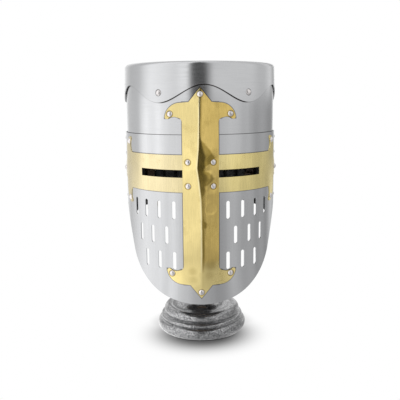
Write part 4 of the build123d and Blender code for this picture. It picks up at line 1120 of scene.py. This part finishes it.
def room_finish():
    """Light for reflections: three rings of tones mixed by height, with the lens's dark ahead."""
    f = new_finish("room")
    across, ahead, height = f.axes()
    turn = across.maths("ARCTAN2", 0.0 - ahead) * (0.5 / math.pi) + 0.5
    tones = []
    for table in (ROOM_LOW, ROOM_MIDDLE, ROOM_HIGH):
        stops = [(heading(angle), (tone / BRIGHTEST,) * 3) for angle, tone in table]
        tones.append(f.node("ValToRGB", {"stops": stops}, {"Fac": turn}))
    room = f.mix(f.fade(height, *TO_MIDDLE), tones[0], tones[1])
    room = f.mix(f.fade(height, *TO_HIGH), room, tones[2])
    left, right = (f.fade(turn, heading(outer), heading(inner))
                   for outer, inner in (LENS_LEFT, LENS_RIGHT))
    lens = left * right * f.fade(height, *LENS_LOW, LENS_LOW_SHARE, 1.0)
    return f.finish(Base_Color=(0.0, 0.0, 0.0), Specular_IOR_Level=0.0, Roughness=1.0,
                    Emission_Color=f.mix(lens * LENS_DARK, room, (0.0, 0.0, 0.0)),
                    Emission_Strength=BRIGHTEST)


screen_bm = bmesh.new()
bmesh.ops.create_circle(screen_bm, cap_ends=True, segments=96, radius=SCREEN_RADIUS)
lift(screen_bm, bmesh.ops.extrude_edge_only(screen_bm, edges=screen_bm.edges[:]), SCREEN_HEIGHT)
bmesh.ops.translate(screen_bm, vec=(0, 0, MM), verts=screen_bm.verts)
screen = to_object("screen", screen_bm)
screen.data.materials.append(room_finish())
screen.visible_camera = screen.visible_diffuse = screen.visible_shadow = False
print("screen height:", SCREEN_HEIGHT, "m")

# %% White table
FLOOR_HALF = 6
# A painted shadow: where these reach, the table's glow is taken away and its colour darkened.
SHADOW_CENTRE, SHADOW_SQUEEZE, SHADOW_EDGE, SHADOW_CORE = (1, -32), 0.90, 111, 34
CONTACT_REACH, CONTACT_SOFT, CONTACT_DARK = 58, 36, 0.4


def table_finish():
    """A table that glows pure white, with a painted shadow of the stand reaching towards the
    camera.
    """
    f = new_finish("white_table")
    across, ahead = millimetres(f)[:2]
    away = away_from(across * SHADOW_SQUEEZE, ahead, SHADOW_CENTRE)
    shadow = f.fade(away, SHADOW_EDGE, SHADOW_CORE)
    contact = f.near((0, 0, 0), CONTACT_REACH, CONTACT_SOFT) * CONTACT_DARK
    # shade joins the painted shadow and a painted contact ring round the foot.
    shade = either(shadow * shadow, contact)
    return f.finish(Base_Color=f.mix(shade, (0.0, 0.0, 0.0), (0.36, 0.36, 0.36)),
                    Roughness=1.0, Specular_IOR_Level=0.0, Emission_Strength=1.0,
                    Emission_Color=f.mix(shade, (1.0, 1.0, 1.0), (0.0, 0.0, 0.0)))


floor_bm = bmesh.new()
bmesh.ops.create_grid(floor_bm, x_segments=1, y_segments=1, size=FLOOR_HALF)
floor = to_object("floor", floor_bm)
floor.data.materials.append(table_finish())
print("table:", 2 * FLOOR_HALF, "m wide")

# %% Lamps and sky
LAMPS = [("key", (-1.1, -1.0, 1.5), 1.0, 7), ("fill", (1.3, -0.7, 1.2), 1.0, 3),
         ("top", (0.0, -0.02, 1.9), 0.42, 62)]
LAMP_TARGET = Vector((0, 0, 0.2))
SKY_SEEN, SKY_LIGHT = 1.0, 0.30

for name, place, size, power in LAMPS:
    light = bpy.data.lights.new(name, "AREA")
    light.size, light.energy = size, power
    lamp = bpy.data.objects.new(name, light)
    lamp.location = place
    lamp.rotation_euler = (LAMP_TARGET - Vector(place)).to_track_quat("-Z", "Y").to_euler()
    lamp.visible_glossy = False
    bpy.context.scene.collection.objects.link(lamp)

world = bpy.data.worlds.new("studio")
bpy.context.scene.world = world
sky = Finish(world, "Background")
rays = [sky.node("LightPath", output=ray)
        for ray in ("Is Camera Ray", "Is Glossy Ray", "Is Transmission Ray")]
sky.finish(Color=(1.0, 1.0, 1.0),
           Strength=sky.fade(either(*rays), 0, 1, SKY_LIGHT, SKY_SEEN, smooth=False))
print("lamps:", len(LAMPS))
